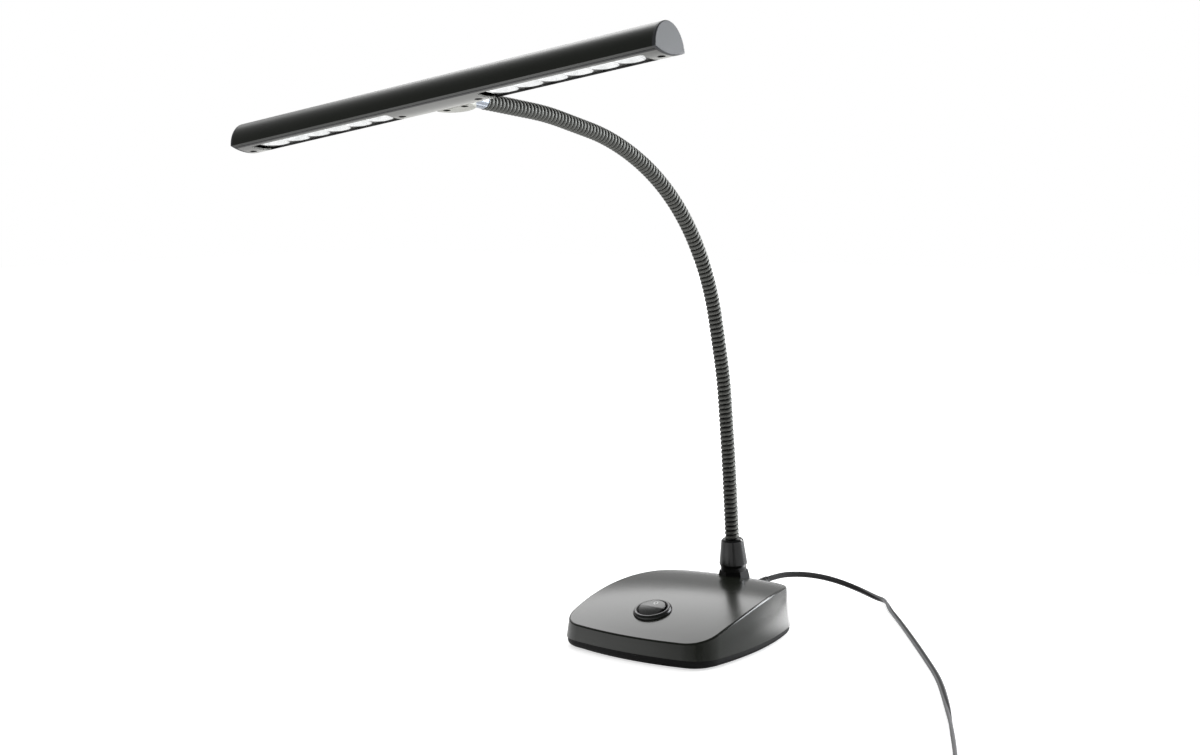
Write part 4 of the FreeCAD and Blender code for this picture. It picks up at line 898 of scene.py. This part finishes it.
# %% The key and its mark
KEY_RADIUS = 8.25 * MM
KEY_MIDDLE = 2.5 * MM
KEY_DEPTH = 4.0 * MM
KEY_TILT = math.radians(8)
KEY_EDGE = 0.45 * MM
KEY_FOOT_SHARE = 0.87  # the foot is narrower, so that it clears the well when the key tilts
KEY_RIM_SHARE = 0.97  # what lies further out than this is the rim
BEVEL_STEPS = 4
NEAR_END = 1e-5  # metres from the top or the foot within which a face belongs to it
OFF_MIDDLE = 1e-4  # metres from the ridge beyond which a face belongs to one half


def key_place():
    """The frame at the pivot, tilted as the switch is and further by the key's own tilt at rest."""
    turn = Matrix.Rotation(SWITCH_SLOPE + KEY_TILT, 4, "X")
    return Matrix.Translation(joints["switch_rock"]["pos_m"]) @ turn


def is_rim(edge):
    """Whether an edge runs round the key and not up its side."""
    first, second = (vertex.co for vertex in edge.verts)
    return (first.xy - second.xy).length > WELD


def make_key():
    start_clean()
    height = KEY_MIDDLE + KEY_DEPTH
    middle = (0, 0, (KEY_MIDDLE - KEY_DEPTH) / 2)
    bpy.ops.mesh.primitive_cylinder_add(
        vertices=SWITCH_STEPS, radius=KEY_RADIUS, depth=height, location=middle
    )
    key = bpy.context.object
    bpy.ops.object.transform_apply(location=True)
    bpy.ops.object.mode_set(mode="EDIT")
    bpy.ops.mesh.select_all(action="SELECT")
    bpy.ops.mesh.bisect(plane_co=(0, 0, 0), plane_no=(0, 1, 0))
    top = KEY_MIDDLE - NEAR_END
    for side in (-1, 1):
        select_where(key, "FACE", lambda place, face: place.z > top and place.y * side > OFF_MIDDLE)
        bpy.ops.transform.rotate(value=side * KEY_TILT, orient_axis="X", center_override=(0, 0, KEY_MIDDLE))
    select_where(key, "FACE", lambda place, face: place.z < NEAR_END - KEY_DEPTH)
    bpy.ops.transform.resize(value=(KEY_FOOT_SHARE, KEY_FOOT_SHARE, 1), center_override=(0, 0, 0))
    rim = KEY_RADIUS * KEY_RIM_SHARE
    select_where(key, "EDGE", lambda place, edge: place.z > 0 and place.xy.length > rim and is_rim(edge))
    bpy.ops.mesh.bevel(offset=KEY_EDGE, segments=BEVEL_STEPS, affect="EDGES")
    bpy.ops.object.mode_set(mode="OBJECT")
    key.matrix_world = key_place()
    settle(key, "rocker_key", switch_gloss, "rocker", ["switch_rocker"], angle=30)


make_key()

MARK_RADIUS = 1.25 * MM
MARK_WIDTH = 0.22 * MM
MARK_PLACE = 4.6 * MM
MARK_FLATNESS = 0.3

start_clean()
bpy.ops.mesh.primitive_torus_add(
    major_radius=MARK_RADIUS, minor_radius=MARK_WIDTH, major_segments=40, minor_segments=8
)
mark = bpy.context.object
mark.matrix_world = (
    key_place()
    @ Matrix.Translation((0, 0, KEY_MIDDLE))
    @ Matrix.Rotation(-KEY_TILT, 4, "X")
    @ Matrix.Translation((0, MARK_PLACE, 0))
    @ Matrix.Diagonal((1, 1, MARK_FLATNESS, 1))
)
settle(mark, "off_mark", mark_white, "rocker")

# %% [markdown]
# ## The strain relief
# The relief is a rubber sleeve: a plug in the wall, a collar outside it, and a tapered tail with
# five grooves that let it bend with the lead.

# %% The ribbed relief
RELIEF_ROOT = Vector((4.6, 59.75, 19.45)) * MM
RELIEF_TIP = Vector(ROUTE[0]) * MM
RELIEF_WALL = 2.5
RELIEF_COLLAR = 1.4
PLUG_RADIUS = 2.85
COLLAR_RADIUS = 4.3
COLLAR_INNER_EDGE = 0.2
COLLAR_OUTER_EDGE = 0.3
ROOT_RADIUS = 3.3
ROOT_RISE = 0.1
RIBS = 5
RIBS_START = 0.4  # from the collar's end
RIBS_LEAVE = 1.5  # what the ribs leave free of the tail's length
RIB_RADIUS = 3.25
RIB_TAPER = 0.19
RIB_GROOVE = 0.45
RIB_END, GROOVE_START, GROOVE_END = 0.55, 0.65, 0.9  # as shares of the ribs' pitch
TIP_ROUND = [(2.25, 0.9), (2.2, 0.2), (2.0, 0)]  # each radius and its distance from the tip


def relief_profile():
    reach = (RELIEF_TIP - RELIEF_ROOT).length / MM
    collar_end = RELIEF_WALL + RELIEF_COLLAR
    profile = [
        (PLUG_RADIUS, 0),
        (PLUG_RADIUS, RELIEF_WALL),
        (COLLAR_RADIUS - COLLAR_INNER_EDGE, RELIEF_WALL),
        (COLLAR_RADIUS, RELIEF_WALL + COLLAR_INNER_EDGE),
        (COLLAR_RADIUS, collar_end - COLLAR_OUTER_EDGE),
        (COLLAR_RADIUS - COLLAR_OUTER_EDGE, collar_end),
        (ROOT_RADIUS, collar_end + ROOT_RISE),
    ]
    pitch = (reach - collar_end - RIBS_LEAVE) / RIBS
    for rib in range(RIBS):
        start = collar_end + RIBS_START + rib * pitch
        radius = RIB_RADIUS - RIB_TAPER * rib
        profile += [(radius, start), (radius, start + pitch * RIB_END)]
        profile += [(radius - RIB_GROOVE, start + pitch * share) for share in (GROOVE_START, GROOVE_END)]
    return profile + [(radius, reach - back) for radius, back in TIP_ROUND]


relief = lathe(relief_profile())
relief.matrix_world = along(RELIEF_ROOT, (RELIEF_TIP - RELIEF_ROOT).normalized())
settle(relief, "ribbed_relief", relief_rubber, "base", ["cord_strain_relief"], angle=40)

# %% [markdown]
# ## Screws with a cross recess
# Six small black screws hold the light bar together from below: four go through the underside plate
# and two into the hub. Each is a turned head with two crossed slots sunk into it. The slots are two
# thin boxes taken away with a Boolean modifier.

# %% Model one screw, then set copies in their places
HEAD_RADIUS = 1.95
HEAD_HEIGHT = 0.6
HEAD_ROUND = [(0.35, 0), (0.08, 0.12), (0, 0.32)]  # how far in from the rim and up from the face
SHANK_RADIUS = 1.0
TIP_RADIUS = 0.3
TIP_LENGTH = 0.6
SLOT_LENGTH = 1.9
SLOT_WIDTH = 0.42
SLOT_DEPTH = 0.35


def cross_screw(length):
    """A screw along Z whose head hangs below the origin."""
    head = [(HEAD_RADIUS - inset, rise - HEAD_HEIGHT) for inset, rise in HEAD_ROUND] + [(HEAD_RADIUS, 0)]
    shank = [(SHANK_RADIUS, HAIR), (SHANK_RADIUS, length - TIP_LENGTH), (TIP_RADIUS, length)]
    piece = lathe(head + shank, steps=32)
    for size in ((SLOT_LENGTH, SLOT_WIDTH), (SLOT_WIDTH, SLOT_LENGTH)):
        start_clean()
        bpy.ops.mesh.primitive_cube_add(location=(0, 0, -HEAD_HEIGHT * MM))
        slot_box = bpy.context.object
        slot_box.scale = (size[0] / 2 * MM, size[1] / 2 * MM, SLOT_DEPTH * MM)
        bpy.ops.object.transform_apply(location=True, scale=True)
        modify(piece, "BOOLEAN", object=slot_box, operation="DIFFERENCE", solver="EXACT")
        bpy.data.objects.remove(slot_box)
    return piece


# %% The light bar's screws
HEAD_BELOW = 1.7
PLATE_SCREWS = [-131.6, -24.7, 24.7, 131.6]
PLATE_SCREW_LENGTH = 6.4
HUB_SCREWS = [-5.85, 5.85]
HUB_SCREW_BACK = 11.9
HUB_SCREW_BELOW = 0.3
HUB_SCREW_LENGTH = 9.5


def drive_screws(kind, places, length, node):
    """Copies of one screw at (x, y, z) places on the bar, in millimetres."""
    model = cross_screw(length)
    for number, place in enumerate(places, start=1):
        piece = copy_of(model, kind)
        piece.matrix_world = bar_place @ Matrix.Translation(Vector(place) * MM)
        settle(piece, f"{kind}_{number}", black_screw, "head", [node], angle=40)
    bpy.data.objects.remove(model)


plate_places = [(x, 0, -HEAD_BELOW) for x in PLATE_SCREWS]
hub_places = [(x, HUB_SCREW_BACK, -HUB_SCREW_BELOW) for x in HUB_SCREWS]
drive_screws("plate_screw", plate_places, PLATE_SCREW_LENGTH, "plate_screws")
drive_screws("hub_screw", hub_places, HUB_SCREW_LENGTH, "hub_screws")

# %% [markdown]
# ## Floor, light and world
# The lamp stands in a product studio: a white sweep lies under and behind it, and the room on the
# camera's side is dark. The sweep's reflection gives dark plastic its pale gradients, and the dark
# side keeps its fronts black. The world is white to the camera wherever it looks.

# %% The floor
FLOOR_SIZE = 8.0
FLOOR_LIFT = 0.6
FAR_LIFT = 0.4
# two round patches of the floor glow for glossy rays only: painted pools of light, which the dark plastic
# near them mirrors
PATCHES = [((0.055, 0.12, 0), 0.055, 2.2), ((-0.09, -0.15, 0), 0.10, 0.8)]  # place, radius and light
FADE_STARTS, FADE_ENDS = 0.35, 1.2

start_clean()
bpy.ops.mesh.primitive_plane_add(size=FLOOR_SIZE)
floor = bpy.context.object
floor.name = "floor"

floor_white = Finish("floor_white", (0.8, 0.8, 0.8), 0.9, Specular_IOR_Level=0.0)
floor_white.set("Emission Color", (1.0, 1.0, 1.0))
distance = floor_white.vector("LENGTH", floor_white.place(), output="Value")
far = distance.step((FADE_STARTS + FADE_ENDS) / 2, FADE_ENDS - FADE_STARTS)
seen = floor_white.rays("Is Camera Ray")
mirrored = floor_white.rays("Is Glossy Ray")
lift = seen * (FLOOR_LIFT + FAR_LIFT * far)
for place, radius, light in PATCHES:
    offset = floor_white.vector("SUBTRACT", floor_white.place(), place)
    reach = floor_white.vector("LENGTH", offset, output="Value")
    lift = lift + mirrored * (reach.step(radius, radius) * -light + light)
floor_white.set("Emission Strength", lift)
floor.data.materials.append(floor_white.material)

# %% [markdown]
# In the world's shader, a direction's share along the camera's own heading tells the sweep from the
# dark side. Above the lamp hangs one more soft box, which only polished surfaces see: it gives the
# light bar its pale ridge. The camera itself sees plain white.

# %% The world
LEVEL_LIGHT = 0.75
ROOM_LIGHT = 0.08
SWEEP_LIGHT = 0.5
SWEEP_PLACE, SWEEP_WIDTH = 0.3, 0.6
OVERHEAD = (-0.68, 0.5, 0.54)
OVERHEAD_LIGHT = 1.25
OVERHEAD_PLACE, OVERHEAD_WIDTH = 0.94, 0.10
UP = (0.0, 0.0, 1.0)
CLEAR_PLACE, CLEAR_WIDTH = 0.4, 0.2  # nothing of the soft box hangs lower than this


class Studio(Finish):
    """The world's nodes, put together in the same way as a finish."""

    def __init__(self, tree):
        self.tree = tree
        self.direction = self.node("ShaderNodeTexCoord", output="Generated")

    def towards(self, way, place, width):
        """0 for directions away from the way, 1 for those near it."""
        return self.vector("DOT_PRODUCT", self.direction, way, output="Value").step(place, width)


world = bpy.data.worlds.new("studio")
world.use_nodes = True
bpy.context.scene.world = world
studio = Studio(world.node_tree)
background = studio.tree.nodes["Background"]
background.inputs["Color"].default_value = (1, 1, 1, 1)
heading = (-math.sin(CAMERA_YAW), math.cos(CAMERA_YAW), 0.0)
sweep = studio.towards(heading, SWEEP_PLACE, SWEEP_WIDTH) * (SWEEP_LIGHT - ROOM_LIGHT) + ROOM_LIGHT
overhead = studio.towards(OVERHEAD, OVERHEAD_PLACE, OVERHEAD_WIDTH) * OVERHEAD_LIGHT
overhead = overhead * studio.towards(UP, CLEAR_PLACE, CLEAR_WIDTH)
straight = studio.rays("Is Camera Ray").math("MAXIMUM", studio.rays("Is Transmission Ray"))
strength = (sweep + overhead - LEVEL_LIGHT) * studio.rays("Is Glossy Ray") + LEVEL_LIGHT
studio.plug(background.inputs["Strength"], strength.math("MAXIMUM", straight))


# %% [markdown]
# Three soft lamps stand behind the object: one high up to its left, one low to its right and a small
# one above. Their light grazes the dark plastic and draws its edges, while its front stays dark.

# %% The lamps
def soft_lamp(name, place, target, size, watts, color=(1, 1, 1)):
    """An area lamp that points at a target. Its size is its width and its height."""
    bpy.ops.object.light_add(type="AREA", location=place)
    lamp = bpy.context.object
    lamp.name = name
    lamp.data.shape = "RECTANGLE"
    lamp.data.size, lamp.data.size_y = size
    lamp.data.energy = watts
    lamp.data.color = color
    lamp.rotation_euler = (Vector(target) - Vector(place)).to_track_quat("-Z", "Y").to_euler()


BASE_MIDDLE = (0, 0, 0.05)
BLUISH = (0.93, 0.96, 1.0)
soft_lamp("lamp_behind", (-1.0, 1.1, 1.4), BASE_MIDDLE, (1.2, 1.2), 9)
soft_lamp("lamp_right", (0.85, 1.3, 0.3), BASE_MIDDLE, (0.8, 0.8), 24, BLUISH)
soft_lamp("lamp_edge", (0.36, 1.48, 0.95), BASE_MIDDLE, (0.4, 0.4), 6)
bpy.context.scene.view_settings.view_transform = "Standard"
